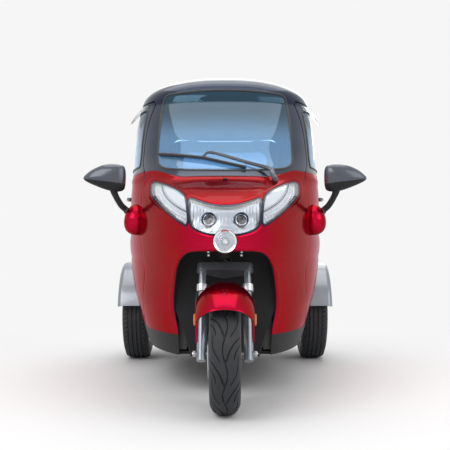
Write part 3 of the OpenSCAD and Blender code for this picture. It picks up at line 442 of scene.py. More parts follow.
def sweep(path, section, closed=False, up=(0, 0, 1), scale=None):
    """Carries a closed flat section (side, up) along a path, square to it, with flat ends."""
    path = np.asarray(path, float)
    section = np.asarray(section, float)
    if closed:
        along = np.roll(path, -1, 0) - np.roll(path, 1, 0)
    else:
        along = np.gradient(path, axis=0)
    along = unit(along)
    side = unit(np.cross(along, np.asarray(up, float)))
    top = np.cross(side, along)
    k = np.ones(len(path)) if scale is None else np.asarray(scale, float)
    V = path[:, None] + k[:, None, None] * (section[None, :, :1] * side[:, None] + section[None, :, 1:] * top[:,
                                                                                                              None])
    rows, cols = len(path), len(section)
    T = grid_tris(rows, cols, closed, True)
    V = V.reshape(-1, 3)
    if not closed:
        V = np.concatenate([V, path[[0, -1]]])
        j = np.arange(cols)
        a, b = rows * cols, rows * cols + 1
        last = (rows - 1) * cols
        T = np.concatenate([T, np.stack([np.full(cols, a), (j + 1) % cols, j], 1),
                            np.stack([np.full(cols, b), last + j, last + (j + 1) % cols], 1)])
    _, T, _ = outward(V - V.mean(0), T)
    return V, T, 0


def circle(r, n=16, squash=1.0):
    t = np.linspace(0, 2 * np.pi, n, endpoint=False)
    return np.stack([r * np.cos(t), r * squash * np.sin(t)], -1)


def tube(points, r, n=14, closed=False, up=(0, 0, 1), samples=0):
    """A round tube through points, which are smoothed where samples are asked for."""
    p = np.asarray(points, float)
    if samples:
        p = spline(p, samples)
    return sweep(p, circle(r, n), closed, up)


def spline(points, samples):
    """Points on a curve through the given ones, cubic between them (central slopes)."""
    p = np.asarray(points, float)
    m = np.gradient(p, axis=0)
    s = np.linspace(0, len(p) - 1, samples)
    i = np.minimum(s.astype(int), len(p) - 2)
    t = (s - i)[:, None]
    return (p[i] * (2 * t**3 - 3 * t**2 + 1) + m[i] * (t**3 - 2 * t**2 + t)
            + p[i + 1] * (3 * t**2 - 2 * t**3) + m[i + 1] * (t**3 - t**2))


def blob(centre, radii, power=(2.4, 2.4), n=(40, 24), warp=None):
    """A closed rounded body: a sphere whose sines and cosines are raised to 2/power."""
    t = np.linspace(0, 2 * np.pi, n[0], endpoint=False)[:, None]
    f = np.linspace(-np.pi / 2, np.pi / 2, n[1] + 2)[1:-1][None, :]

    def pw(v, k):
        return np.sign(v) * np.abs(v) ** (2 / k)

    x = pw(np.cos(t), power[0]) * pw(np.cos(f), power[1])
    y = pw(np.sin(t), power[0]) * pw(np.cos(f), power[1])
    z = pw(np.sin(f), power[1]) * np.ones_like(t)
    V = np.stack([x, y, z], -1).reshape(-1, 3)
    V = np.concatenate([V, [[0, 0, -1], [0, 0, 1]]])
    if warp:
        V = warp(V)
    V = V * radii
    T = grid_tris(n[0], n[1], True, False)[:, ::-1]
    i = np.arange(n[0])
    k = (i + 1) % n[0]
    base = n[0] * n[1]
    T = np.concatenate([T[:, ::-1], np.stack([np.full(n[0], base), k * n[1], i * n[1]], 1),
                        np.stack([np.full(n[0], base + 1), i * n[1] + n[1] - 1, k * n[1] + n[1] - 1], 1)])
    V, T, _ = outward(V, T)
    return V + centre, T, 0


def box_mesh(low, high, r=0.003):
    """A box whose edges are rounded, as a blob of high power between two corners."""
    low, high = np.asarray(low, float), np.asarray(high, float)
    size = (high - low) / 2
    k = float(np.clip(2.2 * size.min() / r, 3, 14))
    return blob((low + high) / 2, size, (k, k), (48, 24))


def mark(mesh, m):
    return mesh[0], mesh[1], np.full(len(mesh[1]), m)


def flip_x(mesh):
    """The mirror image across the middle plane, with its faces turned to point outwards."""
    return mesh[0] * [-1, 1, 1], mesh[1][:, ::-1], mesh[2]


def both(mesh):
    return join(mesh, flip_x(mesh))


# Finishes
def group(name, inputs, outputs):
    """An empty shader node group with its sockets; inputs are (name, kind, default)."""
    tree = bpy.data.node_groups.new(name, "ShaderNodeTree")
    for label, kind, default in inputs:
        s = tree.interface.new_socket(name=label, in_out="INPUT", socket_type=kind)
        s.default_value = default
    for label, kind in outputs:
        tree.interface.new_socket(name=label, in_out="OUTPUT", socket_type=kind)
    return tree, tree.nodes.new("NodeGroupInput"), tree.nodes.new("NodeGroupOutput")


def add_node(tree, kind, settings=(), **values):
    """A node with its settings and the values of its unlinked inputs; a value that is a socket is linked."""
    node = tree.nodes.new(kind)
    for key, value in dict(settings).items():
        setattr(node, key, value)
    for key, value in values.items():
        target = node.inputs[int(key[1:])] if key[0] == "i" and key[1:].isdigit() else node.inputs[key.replace("_", " ")]
        if isinstance(value, bpy.types.NodeSocket):
            tree.links.new(value, target)
        else:
            target.default_value = value
    return node


def make_groups():
    """Grain gives a normal from fine noise, Mottle varies a colour and a roughness, Flakes tilts tiny cells,
    Height Band blends two colours over a range of Z, and Settled Dust lightens what faces up."""
    tree, gi, go = group("Grain", [("Scale", "NodeSocketFloat", 900.0), ("Strength", "NodeSocketFloat", 0.1),
                                   ("Distance", "NodeSocketFloat", 0.0005)], [("Normal", "NodeSocketVector")])
    place = add_node(tree, "ShaderNodeTexCoord")
    noise = add_node(tree, "ShaderNodeTexNoise", Vector=place.outputs["Object"], Scale=gi.outputs["Scale"],
                     Detail=3.0)
    bump = add_node(tree, "ShaderNodeBump", Height=noise.outputs["Fac"], Strength=gi.outputs["Strength"],
                    Distance=gi.outputs["Distance"])
    tree.links.new(bump.outputs["Normal"], go.inputs["Normal"])

    tree, gi, go = group("Mottle", [("Color", "NodeSocketColor", (1, 1, 1, 1)),
                                    ("Other Color", "NodeSocketColor", (1, 1, 1, 1)),
                                    ("Scale", "NodeSocketFloat", 6.0), ("Amount", "NodeSocketFloat", 0.3),
                                    ("Roughness", "NodeSocketFloat", 0.3), ("Spread", "NodeSocketFloat", 0.05)],
                         [("Color", "NodeSocketColor"), ("Roughness", "NodeSocketFloat")])
    place = add_node(tree, "ShaderNodeTexCoord")
    noise = add_node(tree, "ShaderNodeTexNoise", Vector=place.outputs["Object"], Scale=gi.outputs["Scale"],
                     Detail=5.0,
                     Roughness=0.6)
    share = add_node(tree, "ShaderNodeMath", {"operation": "MULTIPLY"}, i0=noise.outputs["Fac"],
                     i1=gi.outputs["Amount"])
    blend = add_node(tree, "ShaderNodeMix", {"data_type": "RGBA"}, i0=share.outputs[0], i6=gi.outputs["Color"],
                     i7=gi.outputs["Other Color"])
    swing = add_node(tree, "ShaderNodeMath", {"operation": "SUBTRACT"}, i0=noise.outputs["Fac"], i1=0.5)
    rough = add_node(tree, "ShaderNodeMath", {"operation": "MULTIPLY_ADD"}, i0=swing.outputs[0],
                     i1=gi.outputs["Spread"],
                     i2=gi.outputs["Roughness"])
    tree.links.new(blend.outputs[2], go.inputs["Color"])
    tree.links.new(rough.outputs[0], go.inputs["Roughness"])

    tree, gi, go = group("Flakes", [("Scale", "NodeSocketFloat", 2500.0), ("Tilt", "NodeSocketFloat", 0.05)],
                         [("Normal", "NodeSocketVector")])
    place = add_node(tree, "ShaderNodeTexCoord")
    cells = add_node(tree, "ShaderNodeTexVoronoi", Vector=place.outputs["Object"], Scale=gi.outputs["Scale"])
    centred = add_node(tree, "ShaderNodeVectorMath", {"operation": "SUBTRACT"}, i0=cells.outputs["Color"],
                       i1=(0.5, 0.5, 0.5))
    tilt = add_node(tree, "ShaderNodeVectorMath", {"operation": "SCALE"}, i0=centred.outputs[0],
                    Scale=gi.outputs["Tilt"])
    geo = add_node(tree, "ShaderNodeNewGeometry")
    total = add_node(tree, "ShaderNodeVectorMath", {"operation": "ADD"}, i0=geo.outputs["Normal"], i1=tilt.outputs[0])
    norm = add_node(tree, "ShaderNodeVectorMath", {"operation": "NORMALIZE"}, i0=total.outputs[0])
    tree.links.new(norm.outputs[0], go.inputs["Normal"])

    tree, gi, go = group("Height Band",
                         [("Color", "NodeSocketColor", (1, 1, 1, 1)),
                          ("Upper Color", "NodeSocketColor", (1, 1, 1, 1)),
                                         ("From", "NodeSocketFloat", 0.0), ("To", "NodeSocketFloat", 1.0)],
                         [("Color", "NodeSocketColor")])
    place = add_node(tree, "ShaderNodeTexCoord")
    parts = add_node(tree, "ShaderNodeSeparateXYZ", Vector=place.outputs["Object"])
    share = add_node(tree, "ShaderNodeMapRange", {"interpolation_type": "SMOOTHSTEP"}, i0=parts.outputs["Z"],
                     i1=gi.outputs["From"], i2=gi.outputs["To"])
    blend = add_node(tree, "ShaderNodeMix", {"data_type": "RGBA"}, i0=share.outputs[0], i6=gi.outputs["Color"],
                     i7=gi.outputs["Upper Color"])
    tree.links.new(blend.outputs[2], go.inputs["Color"])

    tree, gi, go = group("Settled Dust",
                         [("Color", "NodeSocketColor", (1, 1, 1, 1)), ("Amount", "NodeSocketFloat", 0.2)],
                         [("Color", "NodeSocketColor")])
    place = add_node(tree, "ShaderNodeTexCoord")
    noise = add_node(tree, "ShaderNodeTexNoise", Vector=place.outputs["Object"], Scale=14.0, Detail=6.0)
    geo = add_node(tree, "ShaderNodeNewGeometry")
    up = add_node(tree, "ShaderNodeSeparateXYZ", Vector=geo.outputs["Normal"])
    lift = add_node(tree, "ShaderNodeMath", {"operation": "MULTIPLY_ADD", "use_clamp": True}, i0=up.outputs["Z"],
                    i1=0.5, i2=0.4)
    mask = add_node(tree, "ShaderNodeMath", {"operation": "MULTIPLY"}, i0=lift.outputs[0], i1=noise.outputs["Fac"])
    part = add_node(tree, "ShaderNodeMath", {"operation": "MULTIPLY"}, i0=mask.outputs[0], i1=gi.outputs["Amount"])
    blend = add_node(tree, "ShaderNodeMix", {"data_type": "RGBA"}, i0=part.outputs[0], i6=gi.outputs["Color"],
                     i7=(0.42, 0.39, 0.35, 1))
    tree.links.new(blend.outputs[2], go.inputs["Color"])


def use_group(tree, name, **values):
    node = tree.nodes.new("ShaderNodeGroup")
    node.node_tree = bpy.data.node_groups[name]
    for key, value in values.items():
        target = node.inputs[key.replace("_", " ")]
        if isinstance(value, bpy.types.NodeSocket):
            tree.links.new(value, target)
        else:
            target.default_value = value
    return node


def finish(name, color, roughness, metallic=0.0, other=None, mottle=(6.0, 0.5, 0.06), grain=None, flakes=None,
           dust=0.0, glow=None, shadow_through=None, edge=None, band=None, **sockets):
    """A material: Mottle's colour and roughness, Grain or Flakes for its normal, edge as a painted shade at grazing
    angles, band as a colour that changes with height, the rest plain values.
    """
    m = bpy.data.materials.new(name)
    m.use_nodes = True
    tree = m.node_tree
    bsdf = tree.nodes["Principled BSDF"]
    color = (*color[:3], 1)
    other = (*(other or [c * 0.8 for c in color[:3]])[:3], 1)
    base = use_group(tree, "Mottle", Color=color, Other_Color=other, Scale=mottle[0], Amount=mottle[1],
                     Roughness=roughness, Spread=mottle[2])
    tint = base.outputs["Color"]
    if dust:
        tint = use_group(tree, "Settled Dust", Color=tint, Amount=dust).outputs["Color"]
    if band:
        tint = use_group(tree, "Height Band", Color=tint, Upper_Color=(*band[0], 1), From=band[1],
                         To=band[2]).outputs["Color"]
    # edge: the colour turns to the edge colour where the surface faces away from the view, a painted shade
    if edge:
        facing = add_node(tree, "ShaderNodeLayerWeight", Blend=0.45)
        tint = add_node(tree, "ShaderNodeMix", {"data_type": "RGBA"}, i0=facing.outputs["Facing"], i6=tint,
                        i7=(*edge, 1)).outputs[2]
    tree.links.new(tint, bsdf.inputs["Base Color"])
    tree.links.new(base.outputs["Roughness"], bsdf.inputs["Roughness"])
    bsdf.inputs["Metallic"].default_value = metallic
    if grain:
        n = use_group(tree, "Grain", Scale=grain[0], Strength=grain[1], Distance=grain[2])
        tree.links.new(n.outputs["Normal"], bsdf.inputs["Normal"])
    if flakes:
        n = use_group(tree, "Flakes", Scale=flakes[0], Tilt=flakes[1])
        tree.links.new(n.outputs["Normal"], bsdf.inputs["Normal"])
    if glow:
        bsdf.inputs["Emission Color"].default_value = (*glow[0], 1)
        bsdf.inputs["Emission Strength"].default_value = glow[1]
    for key, value in sockets.items():
        bsdf.inputs[key.replace("_", " ")].default_value = value
    if shadow_through:
        out = tree.nodes["Material Output"]
        ray = tree.nodes.new("ShaderNodeLightPath")
        clear = tree.nodes.new("ShaderNodeBsdfTransparent")
        clear.inputs["Color"].default_value = (*shadow_through, 1)
        both_ways = tree.nodes.new("ShaderNodeMixShader")
        tree.links.new(ray.outputs["Is Shadow Ray"], both_ways.inputs[0])
        tree.links.new(bsdf.outputs[0], both_ways.inputs[1])
        tree.links.new(clear.outputs[0], both_ways.inputs[2])
        tree.links.new(both_ways.outputs[0], out.inputs["Surface"])
    return m


MATERIALS = {}


def make_materials(paint):
    """All finishes, from the colours that a user can change."""
    red, cabin, silver = list(paint.body_red), list(paint.cabin_black), list(paint.silver)
    dark = [0.012, 0.013, 0.015]
    M = MATERIALS
    # The red turns to a much darker red where it faces away from the view: painted shade.
    M["red"] = finish("Candy red paint", red, 0.20, 0.85, other=[c * 0.85 for c in red], mottle=(1.6, 0.5, 0.04),
                      flakes=(2600.0, 0.06), edge=[c * 0.14 for c in red], Coat_Weight=0.18, Coat_Roughness=0.03,
                      Coat_IOR=1.33, Specular_IOR_Level=0.05, Specular_Tint=(0.8, 0.05, 0.14, 1))
    # The lacquer's reflections are tinted blue: a painted bluish reflection.
    M["gloss_black"] = finish("Gloss black lacquer", cabin, 0.15, 0.0, other=[c * 1.5 for c in cabin],
                              mottle=(2.0, 0.5, 0.04), grain=(350.0, 0.03, 0.0003), Specular_IOR_Level=0.5,
                              Specular_Tint=(0.40, 0.56, 1.0, 1))
    M["inner"] = finish("Inner trim", [0.035, 0.036, 0.038], 0.75, other=[0.05, 0.05, 0.052],
                        mottle=(30.0, 0.5, 0.06),
                        grain=(700.0, 0.12, 0.0004), Specular_IOR_Level=0.2)
    M["silver"] = finish("Silver paint", silver, 0.34, 0.75, other=[c * 0.8 for c in silver], mottle=(4.0, 0.4, 0.06),
                         flakes=(2200.0, 0.08), Coat_Weight=0.7, Coat_Roughness=0.06)
    M["chrome"] = finish("Chrome", [0.86, 0.87, 0.89], 0.06, 1.0, other=[0.7, 0.72, 0.75], mottle=(8.0, 0.3, 0.04),
                         grain=(60.0, 0.02, 0.0005))
    M["steel"] = finish("Polished steel", [0.62, 0.63, 0.65], 0.24, 1.0, other=[0.45, 0.46, 0.48],
                        mottle=(18.0, 0.5, 0.12), grain=(500.0, 0.06, 0.0004))
    M["frame"] = finish("Frame enamel", [0.03, 0.03, 0.032], 0.42, 0.1, other=[0.06, 0.055, 0.05],
                        mottle=(12.0, 0.6, 0.2),
                        grain=(220.0, 0.12, 0.0008), dust=0.35)
    M["plastic"] = finish("Moulded black plastic", [0.014, 0.0145, 0.017], 0.50, other=[0.024, 0.0245, 0.028],
                          mottle=(24.0, 0.6, 0.12), grain=(1100.0, 0.32, 0.0005), dust=0.06, Specular_IOR_Level=0.18)
    M["satin"] = finish("Satin dark grey", [0.070, 0.080, 0.105], 0.26, 0.3, other=[0.05, 0.057, 0.075],
                        mottle=(5.0, 0.5, 0.08), grain=(420.0, 0.05, 0.0003), Coat_Weight=0.5, Coat_Roughness=0.12)
    M["rubber"] = finish("Tyre rubber", [0.020, 0.022, 0.027], 0.60, other=[0.036, 0.038, 0.044],
                         mottle=(30.0, 0.7, 0.15),
                         grain=(900.0, 0.3, 0.0005), dust=0.10, Specular_IOR_Level=0.3)
    M["seal"] = finish("Rubber seal", dark, 0.5, other=[0.03, 0.03, 0.03], mottle=(40.0, 0.6, 0.15),
                       grain=(1500.0, 0.2, 0.0003))
    tint = list(paint.glass_tint)
    # The glass turns dark blue-grey towards the top and its reflections are tinted blue: painted reflection of the
    # surroundings.
    M["glass"] = finish("Tinted glass", tint, 0.0, other=[c * 0.97 for c in tint], mottle=(1.0, 0.3, 0.0),
                        band=([0.06, 0.13, 0.19], 1.14, 1.34), Transmission_Weight=0.80, IOR=1.5,
                        Specular_IOR_Level=1.0, Specular_Tint=(0.42, 0.74, 1.0, 1),
                        shadow_through=[c * 0.9 for c in tint])
    M["bowl"] = finish("Lamp reflector", [0.46, 0.49, 0.53], 0.22, 0.75, other=[0.34, 0.37, 0.41],
                       mottle=(20.0, 0.5, 0.08),
                       grain=(120.0, 0.06, 0.0006))
    M["lens"] = finish("Clear lens", [0.97, 0.98, 1.0], 0.0, other=[0.94, 0.96, 0.98], mottle=(6.0, 0.3, 0.0),
                       Transmission_Weight=1.0, IOR=1.4, shadow_through=[0.96, 0.97, 0.98])
    M["visor"] = finish("Clear acrylic", [0.80, 0.85, 0.88], 0.06, other=[0.74, 0.8, 0.84], mottle=(6.0, 0.3, 0.02),
                        Transmission_Weight=1.0, IOR=1.3, shadow_through=[0.85, 0.88, 0.9])
    M["amber"] = finish("Amber reflector", [0.9, 0.22, 0.02], 0.25, other=[0.7, 0.12, 0.01], mottle=(300.0, 0.7, 0.1),
                        grain=(900.0, 0.5, 0.0006), Coat_Weight=1.0, Coat_Roughness=0.02)
    M["tail_red"] = finish("Red lens", [0.55, 0.01, 0.015], 0.12, other=[0.3, 0.004, 0.008],
                           mottle=(260.0, 0.7, 0.08),
                           grain=(420.0, 0.35, 0.0008), Coat_Weight=1.0, Coat_Roughness=0.02)
    M["white"] = finish("White diffuser", [0.60, 0.63, 0.68], 0.30, 0.35, other=[0.46, 0.50, 0.56],
                        mottle=(240.0, 0.5, 0.1),
                        grain=(300.0, 0.25, 0.0006))
    M["led"] = finish("LED", [1.0, 0.98, 0.9], 0.2, other=[0.9, 0.85, 0.7], mottle=(500.0, 0.4, 0.05),
                      glow=((1.0, 0.98, 0.92), 0.3))
    M["seat"] = finish("Seat leatherette", [0.03, 0.031, 0.034], 0.46, other=[0.055, 0.055, 0.06],
                       mottle=(14.0, 0.6, 0.14),
                       grain=(520.0, 0.55, 0.0012), dust=0.1, Sheen_Weight=0.15)
    M["thread"] = finish("Seam thread", [0.32, 0.02, 0.03], 0.7, other=[0.22, 0.012, 0.02], mottle=(600.0, 0.7, 0.1),
                         grain=(2500.0, 0.6, 0.0004))
    M["screen_glass"] = finish("Display glass", [0.01, 0.012, 0.015], 0.06, other=[0.015, 0.02, 0.03],
                               mottle=(20.0, 0.4, 0.02),
                               Coat_Weight=1.0)
    M["mirror"] = finish("Mirror glass", [0.9, 0.92, 0.93], 0.02, 1.0, other=[0.85, 0.88, 0.9],
                         mottle=(3.0, 0.3, 0.01))
    M["mat"] = finish("Ribbed floor mat", [0.02, 0.02, 0.021], 0.8, other=[0.035, 0.034, 0.032],
                      mottle=(60.0, 0.7, 0.1),
                      grain=(260.0, 0.7, 0.0015), dust=0.3)
    M["plate"] = finish("Blank plate", [0.75, 0.75, 0.73], 0.4, 0.3, other=[0.66, 0.66, 0.64], mottle=(9.0, 0.5, 0.1),
                        grain=(160.0, 0.08, 0.0006))


# Panels of the body surface
def body_place(params, d=0.0):
    """Point of a (height, angle) pair, set in by d."""
    return skin(params[:, 0], params[:, 1], d)


def roof_place(params, d=0.0):
    """Point of a (share of the plan, angle) pair on the dome, set in by d."""
    return skin(dome_z(params[:, 0], d), params[:, 1], d)


def thinned(*counts):
    """Rows and columns of a body sheet, brought down so that the whole scene keeps its triangle limit."""
    return [round(count * SHEET_DENSITY) for count in counts]


def front_grid(z0, z1, rows, cols):
    """Heights and angles between the two door seams; z0 and z1 are functions of the share u from -1 to 1."""
    rows, cols = thinned(rows, cols)
    u = np.linspace(-1, 1, cols)[None, :]
    t = np.linspace(0, 1, rows)[:, None]
    z = mix(z0(u), z1(u), t)
    return np.stack([z, front_angle(u, z)], -1).reshape(-1, 2), grid_tris(rows, cols)


def rear_grid(z0, z1, rows, cols):
    """The same round the tail, with u from 0 at the left door to 1 at the right one."""
    rows, cols = thinned(rows, cols)
    u = np.linspace(0, 1, cols)[None, :]
    t = np.linspace(0, 1, rows)[:, None]
    z = mix(z0(u), z1(u), t)
    return np.stack([z, rear_angle(u, z)], -1).reshape(-1, 2), grid_tris(rows, cols)


def door_grid(z0, z1, rows, cols, gap=1.0):
    """Heights and angles of the left door, between its two shut lines."""
    rows, cols = thinned(rows, cols)
    z = np.linspace(z0, z1, rows)[:, None]
    y = mix(seam_y(z) + gap * seam_gap(z), door_back_y(z) - gap * SHUT_GAP, np.linspace(0, 1, cols)[None, :])
    z = z + 0 * y
    return np.stack([z, angle_at(z, y)], -1).reshape(-1, 2), grid_tris(rows, cols)


def base_at(u):
    return meet(screen_z, front_angle, u, 1.0)


def front_top_at(u):
    return meet(roof_z, front_angle, u, 1.43)


def rear_top_at(u):
    return meet(roof_z, rear_angle, u, 1.40)


def level(z):
    return lambda u: np.full_like(u, z)


def cut(sheet, outline, axes, keep_inside, margin=0.0, place=body_place):
    """Clips a sheet by an outline seen along the axis that axes leaves out."""
    P, T = sheet
    depth = depth_in(place(P)[:, axes], outline)
    return clip(P, T, depth - margin if keep_inside else -depth - margin)


def panel_mesh(sheet, thickness, roll, set_in=0.0, place=body_place, lift=None):
    """Closed panel of a sheet; lift gives how far each outer point stands proud."""
    P, T = sheet
    outer = place(P, set_in - (lift(P) if lift else 0.0))
    return shell_mesh(outer, place(P, set_in + thickness), T, roll)


def band_on(points, half, height, normal_from, n=10):
    """A rounded strip along a closed line of points, flat on the surface whose normals are given."""
    p = np.asarray(points)
    along = unit(np.roll(p, -1, 0) - np.roll(p, 1, 0))
    top = unit(normal_from)
    side = unit(np.cross(along, top))
    t = np.linspace(0, 2 * np.pi, n, endpoint=False)
    V = p[:, None] + half * np.cos(t)[None, :, None] * side[:, None] + height * np.sin(t)[None, :, None] * top[:,
                                                                                                               None]
    return outward(V.reshape(-1, 3), grid_tris(len(p), n, True, True))


def resample(loop, count):
    """Evenly spaced points round a closed line."""
    p = np.concatenate([loop, loop[:1]])
    s = np.concatenate([[0], np.cumsum(np.linalg.norm(np.diff(p, axis=0), axis=1))])
    at = np.linspace(0, s[-1], count, endpoint=False)
    return np.stack([np.interp(at, s, p[:, k]) for k in range(p.shape[1])], -1)


def seal_round(outline, where, half=0.005, height=0.004, count=240, normal_step=0.002, lift=0.0):
    """A rubber strip round an outline on the body; where gives the surface's point for (a, z, set in)."""
    loop = resample(outline, count)
    p = where(loop[:, 0], loop[:, 1], -lift)
    dx = where(loop[:, 0] + normal_step, loop[:, 1], -lift) - where(loop[:, 0] - normal_step, loop[:, 1], -lift)
    dz = where(loop[:, 0], loop[:, 1] + normal_step, -lift) - where(loop[:, 0], loop[:, 1] - normal_step, -lift)
    n = unit(np.cross(dx, dz))
    return band_on(p, half, height, n)


def on_front(x, z, d=0.0):
    return np.stack([x, front_y(z, x, d), z], -1)


def on_tail(x, z, d=0.0):
    return np.stack([x, tail_y(z, x, d), z], -1)


def on_side(y, z, d=0.0):
    return np.stack([side_x(z, y, d), y, z], -1)


def fork_point(s, back, x=0.0):
    """Point s up the fork from the axle and back from the fork's line."""
    return np.array([x, FRONT_AXLE[1] + s * math.sin(RAKE) + back * math.cos(RAKE),
                     FRONT_AXLE[2] + s * math.cos(RAKE) - back * math.sin(RAKE)])


HEAD_LINE = smooth_loop(mirrored(HEADLAMP), 3)
SIDE_LINE = smooth_loop(np.array(SIDE_LAMP) * MM, 3)
SCREEN_LINE = smooth_loop(mirrored(SCREEN), 2)
ARCH_LINE = smooth_loop(mirrored(ARCH), 3, 0.2)
DOOR_LINE = smooth_loop(np.array(DOOR_WINDOW) * MM, 2)
QUARTER_LINE = smooth_loop(np.array(QUARTER_WINDOW) * MM, 2)
TAIL_LINE = smooth_loop(np.array(TAIL_LAMP) * MM, 2)
LID_LINE = rounded_rect(0.700, 0.740, 0.070, 0, 0.930)
REAR_GLASS_LINE = rounded_rect(0.560, 0.250, 0.070, 0, 1.115)
XZ, YZ = [0, 2], [1, 2]


class PaintSettings(PropertyGroup):
    """Colours of the vehicle's finishes."""
    body_red: FloatVectorProperty(name="Body red",
                                  description="Candy paint of the lower body, the lid and the front fender",
                                  subtype="COLOR", size=3, min=0, max=1, default=(0.56, 0.003, 0.034))
    cabin_black: FloatVectorProperty(name="Cabin black", description="Lacquer of the roof, pillars and door frames",
                                     subtype="COLOR", size=3, min=0, max=1, default=(0.006, 0.008, 0.016))
    silver: FloatVectorProperty(name="Silver", description="Metallic paint of the rear fenders and the fork",
                                subtype="COLOR", size=3, min=0, max=1, default=(0.24, 0.26, 0.29))
    glass_tint: FloatVectorProperty(name="Glass tint", description="Colour that the windows let through",
                                    subtype="COLOR", size=3, min=0, max=1, default=(0.38, 0.64, 0.92))
    floor: FloatVectorProperty(name="Floor", description="Colour of the studio floor and backdrop",
                               subtype="COLOR", size=3, min=0, max=1, default=(0.92, 0.92, 0.92))


class SizeSettings(PropertyGroup):
    """Sizes of details that the CAD part leaves to the looks."""
    roll: FloatProperty(name="Edge roll", description="Radius at which a panel's edge turns in",
                        subtype="DISTANCE", unit="LENGTH", min=0.0005, max=0.004, default=0.0018)
    lamp_gap: FloatProperty(name="Lamp gap", description="Dark gap between a lamp and the panel round it",
                            subtype="DISTANCE", unit="LENGTH", min=0.001, max=0.008, default=0.004)
    seal_half: FloatProperty(name="Seal half width", description="Half width of the rubber strips round the glass",
                             subtype="DISTANCE", unit="LENGTH", min=0.002, max=0.012, default=0.006)
    groove: FloatProperty(name="Tread groove", description="Depth of the tyres' grooves",
                          subtype="DISTANCE", unit="LENGTH", min=0.001, max=0.009, default=0.006)
    ribs: IntProperty(name="Reflector ribs", description="Vertical ribs of the headlamp's reflector", min=4, max=40,
                      default=22)


class PieceOperator:
    """Shared by the operators that build a piece: they can be undone and never ask for more."""
    bl_options = {"REGISTER", "UNDO"}

    @property
    def sizes(self):
        return bpy.context.scene.tricycle_sizes


class TRIKE_OT_finishes(PieceOperator, Operator):
    """Makes the node groups and the materials"""
    bl_idname = "tricycle.finishes"
    bl_label = "Finishes"

    def execute(self, context):
        make_groups()
        make_materials(context.scene.tricycle_paint)
        return {"FINISHED"}


class TRIKE_OT_front_panel(PieceOperator, Operator):
    """Red front panel between the doors, with its wheel arch, lamp openings and raised lamp lips"""
    bl_idname = "tricycle.front_panel"
    bl_label = "Front panel"

    def execute(self, context):
        sheet = front_grid(level(BODY_LOW), base_at, 150, 200)
        gap = self.sizes.lamp_gap
        P, T = cut(sheet, ARCH_LINE, XZ, False)
        for line in (HEAD_LINE, SIDE_LINE, SIDE_LINE * [-1, 1]):
            P, T = cut((P, T), line, XZ, False, gap)
        V = body_place(P)
        P, T = clip(P, T, np.hypot(V[:, 0], V[:, 2] - NOSE_LAMP_Z) - NOSE_LAMP_R - 0.003)

        def lift(params):
            """A lip of 3 mm that fades over 14 mm round the lamps, a ring round the nose lamp and a lip over the wheel
            arch.
            """
            p = body_place(params)[:, XZ]
            q = np.stack([np.abs(p[:, 0]), p[:, 1]], -1)
            away = np.minimum(-depth_in(q, HEAD_LINE), -depth_in(q, SIDE_LINE)) - gap
            lip = 0.003 * np.exp(-((away - 0.006) / 0.007) ** 2)
            ring = 0.0025 * np.exp(-((np.hypot(p[:, 0], p[:, 1] - NOSE_LAMP_Z) - NOSE_LAMP_R - 0.010) / 0.006) ** 2)
            arch = 0.004 * np.exp(-((-depth_in(q, ARCH_LINE) - 0.008) / 0.009) ** 2)
            return lip + ring + arch

        mesh = panel_mesh((P, T), PANEL_T, self.sizes.roll, lift=lift)
        M = MATERIALS
        add_object("front_panel", mesh, [M["red"], M["inner"]], "root", ["nose_cowl"])
        nozzle = blob([0, front_y(0.950, 0.0) - 0.002, 0.950], [0.011, 0.009, 0.006], (3, 2.4), (24, 12))
        add_object("washer_nozzle", nozzle, [M["plastic"]], "root")
        z = np.linspace(SILL_Z + 0.0005, BODY_LOW - 0.0008, 14)[:, None]
        a = np.linspace(-np.pi, np.pi, 361)[None, :]
        P, T = np.stack([z + 0 * a, a + 0 * z], -1).reshape(-1, 2), grid_tris(14, 361)
        V = body_place(P)
        P, T = clip(P, T, np.where(V[:, 1] > 0, 1.0, -depth_in(V[:, XZ], ARCH_LINE)))
        V = body_place(P)
        P, T = clip(P, T, np.where(np.abs(V[:, 0]) < 0.3, 1.0,
                                   np.hypot(V[:, 1] - REAR_AXLE[1], V[:, 2] - REAR_AXLE[2]) - ARCH_R + 0.007))
        add_object("sill_skirt", panel_mesh((P, T), 0.0018, 0.0008, 0.0008), [M["plastic"], M["plastic"]], "root")
        return {"FINISHED"}


